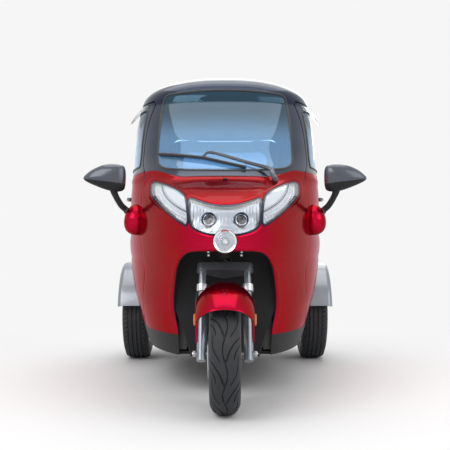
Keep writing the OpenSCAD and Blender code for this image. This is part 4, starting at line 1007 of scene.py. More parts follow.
class TRIKE_OT_headlamp(PieceOperator, Operator):
    """Main lamp unit: ribbed reflector, two round lenses, clear cover and dark surround"""
    bl_idname = "tricycle.headlamp"
    bl_label = "Headlamp"

    def execute(self, context):
        M, s = MATERIALS, self.sizes
        sheet = front_grid(level(0.690), level(0.885), 70, 160)
        base = cut(sheet, HEAD_LINE, XZ, True)
        V = body_place(base[0])
        base = clip(*base, np.hypot(V[:, 0], V[:, 2] - NOSE_LAMP_Z) - NOSE_LAMP_R - 0.002)
        cover = cut(base, HEAD_LINE, XZ, True, 0.006)
        add_object("headlamp_cover", panel_mesh(cover, 0.0025, 0.0008, 0.001), [M["lens"], M["lens"]], "root",
                   ["headlamp"])
        rim = cut(base, HEAD_LINE, XZ, False, -0.0045)
        housing = panel_mesh(rim, 0.018, 0.0012, 0.0)

        def ribs(params):
            """Reflector set back, deeper towards the middle: ribs as a cosine of X above, cells as a product of
            cosines below."""
            p = body_place(params)
            bowl = 0.018 + 0.012 * np.clip(depth_in(p[:, XZ], HEAD_LINE) / 0.03, 0, 1)
            lower = ease((0.770 - p[:, 2]) / 0.02)
            rib = 0.0016 * np.cos(2 * np.pi * s.ribs * p[:, 0] / 0.30) * (1 - lower)
            cell = 0.0014 * np.cos(2 * np.pi * p[:, 0] / 0.012) * np.cos(2 * np.pi * p[:, 2] / 0.012) * lower
            return -(bowl + rib + cell)

        fine = cut(front_grid(level(0.695), level(0.880), 60, 420), HEAD_LINE, XZ, True, 0.004)
        V = body_place(fine[0])
        fine = clip(*fine, np.hypot(V[:, 0], V[:, 2] - NOSE_LAMP_Z) - NOSE_LAMP_R - 0.004)
        back = panel_mesh(fine, 0.045, 0.0005, lift=ribs)
        add_object("headlamp_reflector", back, [M["bowl"], M["plastic"]], "root")
        lenses, rings = [], []
        for x in (-0.064, 0.064):
            y = front_y(0.764, x) + 0.012
            ring = lathe([[0.022, -0.002], [0.0265, 0.000], [0.0285, 0.014], [0.020, 0.014], [0.019, 0.003]],
                         [x, y, 0.764], 48, 1)
            cup = lathe([[0.0225, -0.0045], [0.0295, -0.001], [0.0305, 0.016], [0.028, 0.016], [0.0272, 0.000],
                         [0.0225, -0.0025]],
                        [x, y, 0.764], 48, 1)
            lens = lathe([[0, -0.008], [0.008, -0.007], [0.014, -0.0040], [0.0195, 0.001], [0.0195, 0.006],
                          [0, 0.006]],
                         [x, y, 0.764], 48, 1)
            bulb = lathe([[0, 0.0065], [0.006, 0.0068], [0.0075, 0.009], [0.0185, 0.013], [0.0185, 0.015],
                          [0, 0.015]],
                         [x, y, 0.764], 32, 1)
            rings += [mark(cup, 0), mark(bulb, 1)]
            rings.append(mark(ring, 2))
            lenses.append(lens)
        add_object("headlamp_rings", join(housing, *rings), [M["gloss_black"], M["plastic"], M["chrome"]],
                   "root")
        add_object("headlamp_lenses", join(*lenses), [M["lens"]], "root")
        return {"FINISHED"}


class TRIKE_OT_side_lamps(PieceOperator, Operator):
    """Swept side lamps: clear cover, white reflector with a dark divider and a row of light points"""
    bl_idname = "tricycle.side_lamps"
    bl_label = "Side lamps"

    def execute(self, context):
        M = MATERIALS
        P, T = front_grid(level(0.725), level(0.970), 110, 260)
        P, T = clip(P, T, P[:, 1])
        base = cut((P, T), SIDE_LINE, XZ, True)
        cover = panel_mesh(cut(base, SIDE_LINE, XZ, True, 0.006), 0.0025, 0.0008, 0.001)
        add_object("side_lamp_covers", both(cover), [M["lens"], M["lens"]], "root", ["side_lamps"])
        surround = panel_mesh(cut(base, SIDE_LINE, XZ, False, -0.0045), 0.018, 0.0012)
        divider = spline(np.array([[146, 792], [192, 818], [230, 845], [264, 884], [281, 920], [286, 948]]) * MM, 60)

        def step(params):
            """Reflector in two levels: the strip below the divider lies deeper, with small square facets."""
            p = body_place(params)[:, XZ]
            line = np.interp(p[:, 0], divider[:, 0], divider[:, 1])
            upper = ease((p[:, 1] - line) / 0.006)
            facet = 0.0010 * np.sin(2 * np.pi * p[:, 0] / 0.013) * np.sin(2 * np.pi * p[:, 1] / 0.013)
            return -(mix(0.020, 0.012, upper) + facet * upper)

        inner = panel_mesh(cut(base, SIDE_LINE, XZ, True, 0.005), 0.036, 0.0005, lift=step)
        add_object("side_lamp_reflectors", both(join(mark(inner, inner[2]), mark(surround, 2 + (surround[2] > 0)))),
                   [M["white"], M["plastic"], M["gloss_black"], M["plastic"]], "root")
        path = on_front(divider[:, 0], divider[:, 1], 0.007)
        bar = tube(path, 0.0024, 10)
        dots = []
        for inset in (0.013, 0.026, 0.039):
            line = spline(divider + [0.62 * inset, -0.80 * inset], 19)
            inside = depth_in(line, SIDE_LINE) > 0.009
            for p in on_front(line[inside, 0], line[inside, 1], 0.0175):
                dots.append(lathe([[0, -0.0032], [0.0022, -0.0028], [0.0036, -0.0008], [0.0046, 0.0004],
                                   [0.0046, 0.004], [0, 0.004]], p, 14, 1))
        add_object("side_lamp_dividers", both(bar), [M["gloss_black"]], "root")
        add_object("side_lamp_points", both(join(*dots)), [M["chrome"]], "root")
        return {"FINISHED"}


class TRIKE_OT_nose_lamp(PieceOperator, Operator):
    """Round lamp at the nose: chrome ring, faceted bowl, bulb cap and domed glass"""
    bl_idname = "tricycle.nose_lamp"
    bl_label = "Nose lamp"

    def execute(self, context):
        M = MATERIALS
        y = float(front_y(NOSE_LAMP_Z, 0.0)) - 0.004
        at = [0, y, NOSE_LAMP_Z]
        r = NOSE_LAMP_R
        t = np.radians(np.linspace(200, 20, 12))
        ring = np.concatenate([np.stack([r - 0.006 + 0.0055 * np.cos(t[::-1] - np.pi / 2 + 0.3),
                                         0.004 + 0.0055 * np.sin(t[::-1] - np.pi)], -1),
                               [[r - 0.0005, 0.040], [r - 0.010, 0.040]]])
        chrome = lathe(ring, at, 96, 1)
        n = 96
        a = np.linspace(0, 2 * np.pi, n, endpoint=False)[:, None]
        q = np.linspace(0.02, 1, 22)[None, :]
        facet = 0.0008 * np.cos(12 * a) * np.sin(q * np.pi * 5)
        depth = 0.038 - 0.030 * q**2 + facet
        bowl = np.stack([(r - 0.008) * q * np.cos(a), depth + 0 * a, (r - 0.008) * q * np.sin(a)], -1).reshape(-1,
                                                                                                               3) + at
        back = bowl + [0, 0.003, 0]
        T = grid_tris(n, 22, True, False)
        bowl_mesh = shell_mesh(bowl, back, T, 0.0003)
        bowl_mesh = (bowl_mesh[0], bowl_mesh[1], 0)
        cap = lathe([[0, 0.012], [0.006, 0.013], [0.009, 0.017], [0.009, 0.030], [0, 0.036]], at, 32, 1)
        add_object("nose_lamp_metal", join(chrome, bowl_mesh, cap), [M["chrome"]], "root", ["nose_lamp"])
        k = np.linspace(0, 1, 14)
        dome = np.concatenate([np.stack([(r - 0.009) * np.sin(k * 1.35) / math.sin(1.35),
                                         0.006 - 0.007 * (np.cos(k * 1.35) - math.cos(1.35)) / (1 - math.cos(1.35))], -1),
                               np.stack([(r - 0.0095) * np.sin(k[::-1] * 1.35) / math.sin(1.35),
                                         0.0085 - 0.007 * (np.cos(k[::-1] * 1.35) - math.cos(1.35)) / (1 - math.cos(1.35))], -1)])
        add_object("nose_lamp_glass", lathe(dome, at, 96, 1), [M["lens"]], "root")
        return {"FINISHED"}


class TRIKE_OT_windscreen(PieceOperator, Operator):
    """Pillars, windscreen with its printed border, rubber seal and wiper"""
    bl_idname = "tricycle.windscreen"
    bl_label = "Windscreen"

    def execute(self, context):
        M, s = MATERIALS, self.sizes
        sheet = front_grid(base_at, lambda u: front_top_at(u) - 0.001, 130, 180)
        frame_mesh = panel_mesh(cut(sheet, SCREEN_LINE, XZ, False), PILLAR_T, s.roll)
        add_object("screen_surround", frame_mesh, [M["gloss_black"], M["inner"]], "root",
                   ["screen_frame"])
        glass = cut(sheet, SCREEN_LINE, XZ, True, 0.001)
        add_object("windscreen_glass", panel_mesh(glass, GLASS_T, 0.0006, 0.001), [M["glass"], M["glass"]],
                   "root",
                   ["windscreen"])
        P, T = glass
        p = body_place(P)
        q = np.stack([np.abs(p[:, 0]), p[:, 2]], -1)
        corner = smooth_loop(np.array([[322, 1330], [318, 1390], [304, 1420], [270, 1434], [170, 1440], [206, 1420],
                                       [262, 1396], [300, 1368]]) * MM, 2)
        border = np.maximum(0.010 - depth_in(p[:, XZ], SCREEN_LINE), depth_in(q, corner))
        print_mesh = panel_mesh(clip(P, T, border), 0.0008, 0.0002, 0.0065)
        add_object("windscreen_border", print_mesh, [M["gloss_black"], M["gloss_black"]], "root")
        seal = seal_round(SCREEN_LINE, on_front, s.seal_half, 0.0035)
        add_object("windscreen_seal", seal, [M["seal"]], "root")
        self.wiper()
        return {"FINISHED"}

    def wiper(self):
        """Arm with its hub and elbow, and a blade that lies on the glass."""
        M = MATERIALS

        def over(x, z, lift):
            return np.array([x, front_y(z, x) - lift, z])

        hub = over(0.224, 0.955, 0.012)
        cap = lathe([[0, -0.010], [0.009, -0.0095], [0.013, -0.006], [0.0145, 0.0], [0.0145, 0.020], [0, 0.020]],
                    hub, 40, 1)
        elbow = over(0.202, 1.007, 0.034)
        knee = over(-0.060, 1.086, 0.034)
        clip_at = over(-0.100, 1.066, 0.026)
        arm_path = spline([hub + [0, -0.008, 0.003], mix(hub, elbow, 0.55) + [0, -0.008, 0], elbow,
                           mix(elbow, knee, 0.4),
                           knee, clip_at], 60)
        arm = sweep(arm_path, circle(0.0080, 12, 0.55), up=(0, -1, 0.2), scale=np.linspace(1.5, 0.8, 60))
        x = np.linspace(-0.315, 0.095, 70)
        z = np.interp(x, [-0.315, -0.10, 0.095], [1.094, 1.062, 1.012])
        bow = 0.006 * (1 - ((x + 0.11) / 0.205) ** 2)
        spine = np.stack([x, front_y(z, x) - 0.0155 - bow * 0.5, z], -1)
        blade = sweep(spine, [[-0.007, -0.003], [0.007, -0.003], [0.006, 0.003], [0, 0.0065], [-0.006, 0.003]],
                      up=(0, -1, 0.3))
        edge = np.stack([x, front_y(z, x) - 0.0075, z], -1)
        wipe = sweep(edge, [[-0.0016, -0.0065], [0.0016, -0.0065], [0.0012, 0.0065], [-0.0012, 0.0065]],
                     up=(0, -1, 0.3))
        boss = blob(clip_at + [0, 0.008, 0], [0.013, 0.010, 0.007], (3, 2.6), (24, 12))
        add_object("wiper_arm", join(cap, arm, boss), [M["satin"]], "root", ["wiper"])
        add_object("wiper_blade", join(blade, wipe), [M["seal"]], "root")


class TRIKE_OT_roof(PieceOperator, Operator):
    """Domed roof, down to its seam with the pillars"""
    bl_idname = "tricycle.roof"
    bl_label = "Roof"

    def execute(self, context):
        cols, rows = 144, 32
        a = np.linspace(-np.pi, np.pi, cols, endpoint=False)[None, :]
        edge = shrink(roof_z(a) + 0.0015)
        t = np.linspace(1, 0.004, rows)[:, None] ** 0.8
        share = edge * t
        P = np.stack([share, a + 0 * share], -1).reshape(-1, 2)
        P = np.concatenate([P, [[0.0, 0.0]]])
        T = grid_tris(rows, cols, False, True)
        j = np.arange(cols)
        last = (rows - 1) * cols
        T = np.concatenate([T, np.stack([last + j, last + (j + 1) % cols, np.full(cols, rows * cols)], 1)])
        mesh = panel_mesh((P, T), ROOF_T, self.sizes.roll, place=roof_place)
        add_object("roof_panel", mesh, [MATERIALS["gloss_black"], MATERIALS["inner"]], "root",
                   ["roof"])
        return {"FINISHED"}


class TRIKE_OT_doors(PieceOperator, Operator):
    """Both doors: lower panel, window frame, glass, seals, handle, rain visor and mirror"""
    bl_idname = "tricycle.doors"
    bl_label = "Doors"

    def execute(self, context):
        M, s = MATERIALS, self.sizes
        top = 1.398 - SHUT_GAP

        def crease(params):
            """A soft fold along the door at 0.62 m and a swell under the belt."""
            z = params[:, 0]
            return 0.004 * np.exp(-((z - 0.985) / 0.012) ** 2) - 0.003 * np.exp(-((z - 0.600) / 0.016) ** 2)

        lower = panel_mesh(door_grid(BODY_LOW + SHUT_GAP, BELT_Z - 0.0015, 120, 100), DOOR_T, s.roll, lift=crease)
        sheet = door_grid(BELT_Z + 0.0015, top, 80, 110)
        upper = panel_mesh(cut(sheet, DOOR_LINE, YZ, False), FRAME_T, s.roll)
        pane = panel_mesh(cut(sheet, DOOR_LINE, YZ, True, 0.0005), GLASS_T, 0.0006, 0.003)
        seal = seal_round(DOOR_LINE, on_side, s.seal_half, 0.004)
        seal = outward(seal[0], seal[1])
        grip_y = np.linspace(0.150, 0.285, 30)
        arc = np.sin(np.linspace(0, np.pi, 30))
        grip = on_side(grip_y, np.full(30, 0.900)) + np.stack([0.004 + 0.022 * arc**0.5, 0 * arc, 0 * arc], -1)
        handle = sweep(grip, circle(0.009, 16, 0.55), up=(1, 0, 0), scale=0.75 + 0.35 * arc)
        lock_at = [float(side_x(0.868, 0.240)) - 0.001, 0.240, 0.868]
        lock = lathe([[0, 0.005], [0.003, 0.005], [0.003, 0.004], [0.009, 0.0045], [0.011, 0.003],
                      [0.011, -0.006], [0, -0.006]], lock_at, 32, 0)
        dish = seal_round(rounded_rect(0.150, 0.046, 0.022, 0.2175, 0.900), on_side, 0.0022, 0.0012, 90)
        for side, turn in (("left", lambda m: m), ("right", flip_x)):
            body = "door_" + side
            add_object(f"door_{side}_skin", turn(lower), [M["red"], M["inner"]], body,
                       [f"door_{side}_panel"])
            add_object(f"door_{side}_window_frame", turn(upper), [M["gloss_black"], M["inner"]], body,
                       [f"door_{side}_frame"])
            add_object(f"door_{side}_window", turn(pane), [M["glass"], M["glass"]], body,
                       [f"door_{side}_glass"])
            add_object(f"door_{side}_window_seal", turn(seal), [M["seal"]], body)
            add_object(f"door_{side}_handle", turn(join(handle, lock, dish)), [M["satin"]], body)
            self.visor(side, turn)
            self.mirror(side, turn)
        return {"FINISHED"}

    def visor(self, side, turn):
        """Clear strip over the window's top, bowed outwards as a sine of its height."""
        rows, cols = 16, 60
        j = np.linspace(0, 1, cols)[None, :]
        i = np.linspace(0, 1, rows)[:, None]
        y = mix(0.116, 0.316, j) + 0 * i
        low = 1.296 + 0.070 * np.abs(2 * j - 1) ** 2.5
        z = mix(low, 1.383 + 0 * j, i)
        bulge = 0.002 + 0.034 * np.sin(np.pi / 2 * (1 - i)) * (1 - np.abs(2 * j - 1) ** 4)

        def at(d):
            return np.stack([side_x(z, y) + bulge + d, y, z], -1).reshape(-1, 3)

        mesh = shell_mesh(at(0.003), at(0.0005), grid_tris(rows, cols), 0.0005)
        add_object(f"visor_{side}_shell", turn(mesh), [MATERIALS["visor"], MATERIALS["visor"]], "door_" + side,
                   [f"visor_{side}"])

    def mirror(self, side, turn):
        """Egg-shaped head in two shades with a glass, on a curved stalk from an oval pod."""
        M = MATERIALS
        loop = resample(smooth_loop(MIRROR, 3), 120)
        middle = np.array([0.545, 0.974])
        q = np.sin(np.linspace(0.02, np.pi / 2, 22))[:, None]
        q = np.concatenate([q, q[-2::-1]])
        way = np.linspace(-1, 1, len(q))[:, None]
        depth = np.where(way < 0, -0.040, 0.020) * (1 - q ** np.where(way < 0, 2.2, 9.0)) ** 0.5
        rings = middle + q[..., None] * (loop - middle)
        V = np.stack([rings[..., 0], -0.298 + depth + 0 * rings[..., 0], rings[..., 1]], -1).reshape(-1, 3)
        V = np.concatenate([V, [[middle[0], -0.338, middle[1]], [middle[0], -0.278, middle[1]]]])
        T = grid_tris(len(q), 120, False, True)
        k, last = np.arange(120), (len(q) - 1) * 120
        fans = [np.stack([(k + 1) % 120, k, np.full(120, len(V) - 2)], 1),
                np.stack([last + k, last + (k + 1) % 120, np.full(120, len(V) - 1)], 1)]
        V, T, _ = outward(V, np.concatenate([T, *fans]))
        at = V[T].mean(1)
        head = (V, T, (at[:, 2] < 0.957 + 0.12 * (at[:, 0] - 0.56)).astype(int))
        centre = np.array([0.548, -0.298, 0.974])
        foot_x = float(side_x(0.780, -0.258))
        stalk_path = spline([[foot_x + 0.030, -0.262, 0.800], [foot_x + 0.052, -0.264, 0.826], [0.488, -0.276, 0.850],
                             [0.514, -0.292, 0.900], [0.526, -0.298, 0.950]], 40)
        stalk = sweep(stalk_path, circle(0.0150, 20, 0.8), up=(0, 1, 0),
                      scale=np.interp(np.linspace(0, 1, 40), [0, 0.3, 0.7, 1], [1.2, 0.95, 0.95, 1.4]))
        k = np.linspace(0, 2 * np.pi, 56, endpoint=False)
        glass_back = centre[1] + 0.0195
        ring = np.stack([centre[0] + 0.074 * np.cos(k), np.full(56, glass_back),
                         centre[2] - 0.002 + 0.048 * np.sin(k)], -1)
        t = np.linspace(0, 1, 12)[:, None, None]
        disc = mix(ring[None], np.array([centre[0], glass_back + 0.0022, centre[2] - 0.002])[None, None], t)
        front = disc.reshape(-1, 3)
        glass_mesh = shell_mesh(front, front - [0, 0.004, 0], grid_tris(12, 56, False, True), 0.0008)
        add_object(f"mirror_{side}_head", turn(join(head, mark(stalk, 1))), [M["satin"], M["plastic"]],
                   "door_" + side,
                   [f"mirror_{side}"])
        add_object(f"mirror_{side}_glass", turn(mark(outward(glass_mesh[0], glass_mesh[1]), 0)), [M["mirror"]],
                   "door_" + side)
        pod_c = np.array([foot_x + 0.006, -0.256, 0.780])

        def pod_shape(v):
            """Narrower upwards and at its ends, and cut flat inside the door's thickness."""
            return np.stack([np.maximum(v[:, 0] * (1 - 0.15 * v[:, 2]), -0.42 + 0.3 * v[:, 1]),
                             v[:, 1] * (1 - 0.2 * np.abs(v[:, 2])), v[:, 2]], -1)

        pod = blob(pod_c, [0.056, 0.078, 0.072], (2.2, 2.2), (48, 28), pod_shape)
        add_object(f"mirror_{side}_pod", turn(pod), [M["red"]], "door_" + side)
        add_object(f"mirror_{side}_boot",
                   turn(lathe([[0, -0.012], [0.020, -0.012], [0.021, -0.006], [0.017, 0.004], [0.0145, 0.008],
                               [0, 0.008]], [foot_x + 0.042, -0.263, 0.822], 32, 2)),
                   [M["seal"]], "door_" + side)


class TRIKE_OT_rear_body(PieceOperator, Operator):
    """Rear quarters, upper cabin, quarter glass, tail lamps, bumper and wheel fenders"""
    bl_idname = "tricycle.rear_body"
    bl_label = "Rear body"

    def execute(self, context):
        M, s = MATERIALS, self.sizes
        P, T = rear_grid(level(BODY_LOW), level(BELT_Z - 0.0015), 110, 260)
        V = body_place(P)
        P, T = clip(P, T, np.hypot(V[:, 1] - REAR_AXLE[1], V[:, 2] - REAR_AXLE[2]) - ARCH_R)
        P, T = cut((P, T), LID_LINE, XZ, False)
        for line in (TAIL_LINE, TAIL_LINE * [-1, 1]):
            V = body_place(P)
            d = depth_in(V[:, XZ], line)
            P, T = clip(P, T, np.where(V[:, 1] > REAR_AXLE[1] + 0.1, -d - 0.002, 1.0))

        def swell(params):
            """The belt's swell carries on from the door."""
            return 0.004 * np.exp(-((params[:, 0] - 0.985) / 0.012) ** 2)

        quarters = panel_mesh((P, T), PANEL_T, s.roll, lift=swell)
        add_object("rear_quarter_panels", quarters, [M["red"], M["inner"]], "root", ["rear_quarters"])
        sheet = rear_grid(level(BELT_Z + 0.0015), lambda u: rear_top_at(u) - 0.001, 90, 300)
        V = body_place(sheet[0])
        d = depth_in(V[:, YZ], QUARTER_LINE)
        cabin = clip(*sheet, -d)
        cabin = cut(cabin, LID_LINE, XZ, False)
        add_object("rear_cabin_panels", panel_mesh(cabin, PILLAR_T, s.roll), [M["gloss_black"], M["inner"]], "root",
                   ["rear_cabin"])
        V = body_place(sheet[0])
        pane = clip(*sheet, np.where(V[:, 0] > 0, d - 0.0005, -1))
        pane = panel_mesh(pane, GLASS_T, 0.0006, 0.002)
        add_object("quarter_windows", both(pane), [M["glass"], M["glass"]], "root", ["quarter_glass"])
        seal = seal_round(QUARTER_LINE, on_side, s.seal_half, 0.004)
        add_object("quarter_window_seals", both(outward(seal[0], seal[1])), [M["seal"]], "root")
        self.tail_lamps()
        self.bumper()
        self.fenders()
        return {"FINISHED"}

    def tail_lamps(self):
        """Tall lamps with three fields: red, amber and clear, behind one ribbed lens."""
        M = MATERIALS
        sheet = rear_grid(level(0.630), level(0.915), 90, 300)
        V = body_place(sheet[0])
        P, T = clip(*sheet, np.where((V[:, 1] > REAR_AXLE[1] + 0.1) & (V[:, 0] > 0),
                                     depth_in(V[:, XZ], TAIL_LINE) - 0.001, -1))

        def ribs(params):
            """Proud by 10 mm with rounded edges, and fine level ribs."""
            p = body_place(params)
            edge = np.clip(depth_in(p[:, XZ], TAIL_LINE) / 0.010, 0, 1)
            return 0.010 * np.sqrt(1 - (1 - edge) ** 2) + 0.0006 * np.sin(2 * np.pi * p[:, 2] / 0.008) * edge

        mesh = panel_mesh((P, T), 0.010, 0.001, lift=ribs)
        z = mesh[0][mesh[1]].mean(1)[:, 2]
        fields = np.select([z > 0.815, z > 0.745], [0, 1], 2)
        fields = np.where(np.abs(z - 0.815) < 0.003, 3, np.where(np.abs(z - 0.745) < 0.003, 3, fields))
        lamp = (mesh[0], mesh[1], np.where(mesh[2] == 0, fields, 3))
        add_object("tail_lamp_lenses", both(lamp), [M["tail_red"], M["amber"], M["white"], M["plastic"]], "root",
                   ["tail_lamps"])

    def bumper(self):
        """Moulded bar round the tail whose height is a rounded section, with a plate holder and reflectors."""
        M = MATERIALS
        z0, half = 0.360, 0.090
        thick = LENGTH / 2 - REAR_AXLE[1] - float(tail_len(z0 + 0.062) + WIDEST_Y - REAR_AXLE[1])
        a = np.pi + np.radians(38) * np.linspace(-1, 1, 91)[None, :]
        v = np.linspace(-1, 1, 33)[:, None]
        z = z0 + half * v + 0 * a
        end = np.clip((1 - np.abs(np.linspace(-1, 1, 91)[None, :])) / 0.05, 0, 1)
        bulge = thick * (1 - 0.55 * np.clip((np.abs(v) - 0.62) / 0.38, 0,
                                            1) ** 2) * np.sqrt(1 - (1 - end) ** 2 * 0.75)
        recess = 0.010 * ease((0.150 - np.abs(skin(z, a)[..., 0])) / 0.012) * ease((0.052 - np.abs(z - z0)) / 0.008)
        base = skin(z, a, -0.0003)
        out = skin(z0 + 0 * z, a, -(bulge - recess)) - skin(z0 + 0 * z, a)
        V = (base + out).reshape(-1, 3)
        mesh = shell_mesh(V, (base + 0.02 * out).reshape(-1, 3), grid_tris(33, 91), 0.002)
        add_object("bumper_cover", mark(mesh, 0), [M["plastic"]], "root", ["rear_bumper"])
        y = float(tail_y(z0, 0.0)) + thick - 0.010
        plate = box_mesh([-0.110, y - 0.001, z0 - 0.040], [0.110, y + 0.004, z0 + 0.040], 0.003)
        bolts = [lathe([[0, 0.004], [0.004, 0.0035], [0.0055, 0.001], [0.0055, -0.004], [0, -0.004]],
                       [x, y + 0.005, z0], 20, 1)
                 for x in (-0.070, 0.070)]
        add_object("plate_blank", plate, [M["plate"]], "root")
        add_object("plate_bolts", join(*bolts), [M["steel"]], "root")
        reflectors = []
        for side in (-1, 1):
            line = skin(np.full(24, 0.330), np.pi + side * np.radians(np.linspace(17, 30, 24)), -thick)
            reflectors.append(sweep(line, [[-0.011, -0.002], [0.011, -0.002], [0.011, 0.003], [-0.011, 0.003]],
                                    up=(0, 1, 0)))
        add_object("bumper_reflectors", join(*reflectors), [M["tail_red"]], "root")

    def fenders(self):
        """Silver arch over each rear wheel: a rounded lip turned about the axle, fading into the body."""
        M = MATERIALS
        r = ARCH_R
        t = np.radians(np.linspace(0, 90, 14))
        profile = np.concatenate([
            [[r + 0.012, 0.380], [r + 0.011, FENDER_OUT - 0.060]],
            np.stack([r - 0.016 + 0.026 * np.cos(t), FENDER_OUT - 0.026 + 0.026 * np.sin(t)], -1),
            [[r - 0.022, FENDER_OUT], [r - 0.024, FENDER_OUT - 0.002], [r - 0.022, FENDER_OUT - 0.005]],
            np.stack([r - 0.018 + 0.020 * np.cos(t[::-1]), FENDER_OUT - 0.026 + 0.020 * np.sin(t[::-1])], -1),
            [[r + 0.002, FENDER_OUT - 0.060], [r + 0.004, 0.380]]])
        low = math.asin(0.070 / (r + 0.012))
        a = np.linspace(low, np.pi - low, 120)
        x = profile[:, 1][None, :] + 0 * a[:, None]
        V = np.stack([x, REAR_AXLE[1] - profile[:, 0] * np.cos(a)[:, None],
                      REAR_AXLE[2] + profile[:, 0] * np.sin(a)[:, None]], -1)
        n = len(profile)
        ends = np.stack([V[0].mean(0), V[-1].mean(0)])
        T = grid_tris(len(a), n, False, True)
        j = np.arange(n)
        last = (len(a) - 1) * n
        T = np.concatenate([T, np.stack([np.full(n, len(a) * n), (j + 1) % n, j], 1),
                            np.stack([np.full(n, len(a) * n + 1), last + j, last + (j + 1) % n], 1)])
        V = np.concatenate([V.reshape(-1, 3), ends])
        V, T, _ = outward(V, T)
        add_object("rear_fender_arches", both((V, T, 0)), [M["silver"]], "root", ["rear_fenders"])
        k = np.linspace(low + 0.02, np.pi - low - 0.02, 60)
        edge = np.stack([np.full(60, FENDER_OUT - 0.003), REAR_AXLE[1] - (r - 0.0225) * np.cos(k),
                         REAR_AXLE[2] + (r - 0.0225) * np.sin(k)], -1)
        add_object("rear_fender_edges", both(tube(edge, 0.004, 10, up=(1, 0, 0))), [M["seal"]], "root")


class TRIKE_OT_tailgate(PieceOperator, Operator):
    """Rear lid with its window, seal, handle and light strip"""
    bl_idname = "tricycle.tailgate"
    bl_label = "Tailgate"

    def execute(self, context):
        M, s = MATERIALS, self.sizes
        rows, cols = thinned(130, 180)
        z = np.linspace(0.545, 1.310, rows)[:, None]
        a = np.pi + np.linspace(-0.80, 0.80, cols)[None, :]
        P = np.stack([z + 0 * a, a + 0 * z], -1).reshape(-1, 2)
        sheet = P, grid_tris(rows, cols)
        line = rounded_rect(0.700 - 2 * SHUT_GAP, 0.740 - 2 * SHUT_GAP, 0.066, 0, 0.930)
        lid = cut(cut(sheet, line, XZ, True, s.roll), REAR_GLASS_LINE, XZ, False)

        def lift(params):
            """A raised field round the window and a hollow for the plate below it."""
            p = body_place(params)[:, XZ]
            field = rounded_rect(0.360, 0.130, 0.030, 0, 0.720)
            return 0.003 * ease((0.030 + depth_in(p, REAR_GLASS_LINE)) / 0.010) - 0.006 * ease(depth_in(p,
                                                                                                        field) / 0.012)

        mesh = panel_mesh(lid, LID_T, s.roll, lift=lift)
        centre = mesh[0][mesh[1]].mean(1)
        upper = centre[:, 2] > BELT_Z - 0.045
        marks = np.where(mesh[2] == 1, 1, np.where(upper, 2, 0))
        add_object("tailgate_skin", (mesh[0], mesh[1], marks), [M["red"], M["inner"], M["gloss_black"]],
                   "tailgate",
                   ["tailgate"])
        pane = cut(sheet, REAR_GLASS_LINE, XZ, True, 0.0005)
        add_object("tailgate_window", panel_mesh(pane, GLASS_T, 0.0006, 0.002), [M["glass"], M["glass"]],
                   "tailgate",
                   ["rear_window"])
        seal = seal_round(REAR_GLASS_LINE, on_tail, 0.007, 0.005)
        add_object("tailgate_seal", outward(seal[0], seal[1]), [M["seal"]], "tailgate")
        x = np.linspace(-0.075, 0.075, 30)
        arc = np.sin(np.linspace(0, np.pi, 30))
        path = on_tail(x, np.full(30, 0.850)) + np.stack([0 * x, 0.004 + 0.020 * arc**0.5, 0 * x], -1)
        handle = sweep(path, circle(0.009, 14, 0.6), up=(0, 1, 0), scale=0.75 + 0.3 * arc)
        lock = lathe([[0, 0.006], [0.003, 0.006], [0.003, 0.0045], [0.009, 0.005], [0.011, 0.003],
                      [0.011, -0.006], [0, -0.006]],
                     [0, float(tail_y(0.815, 0.0)), 0.815], 32, 1)
        add_object("tailgate_handle", join(handle, lock), [M["satin"]], "tailgate")
        x = np.linspace(-0.13, 0.13, 50)
        path = on_tail(x, np.full(50, 1.262)) + [0, 0.003, 0]
        add_object("high_brake_light", sweep(path, circle(0.008, 14, 0.55), up=(0, 1, 0)), [M["tail_red"]],
                   "tailgate")
        hinges = []
        for side in (-1, 1):
            ends = on_tail(side * np.array([0.172, 0.228]), np.full(2, 1.2965)) + [0, 0.003, 0]
            hinges.append(tube(ends, 0.007, 16))
        add_object("tailgate_hinges", join(*hinges), [M["satin"]], "tailgate")
        return {"FINISHED"}


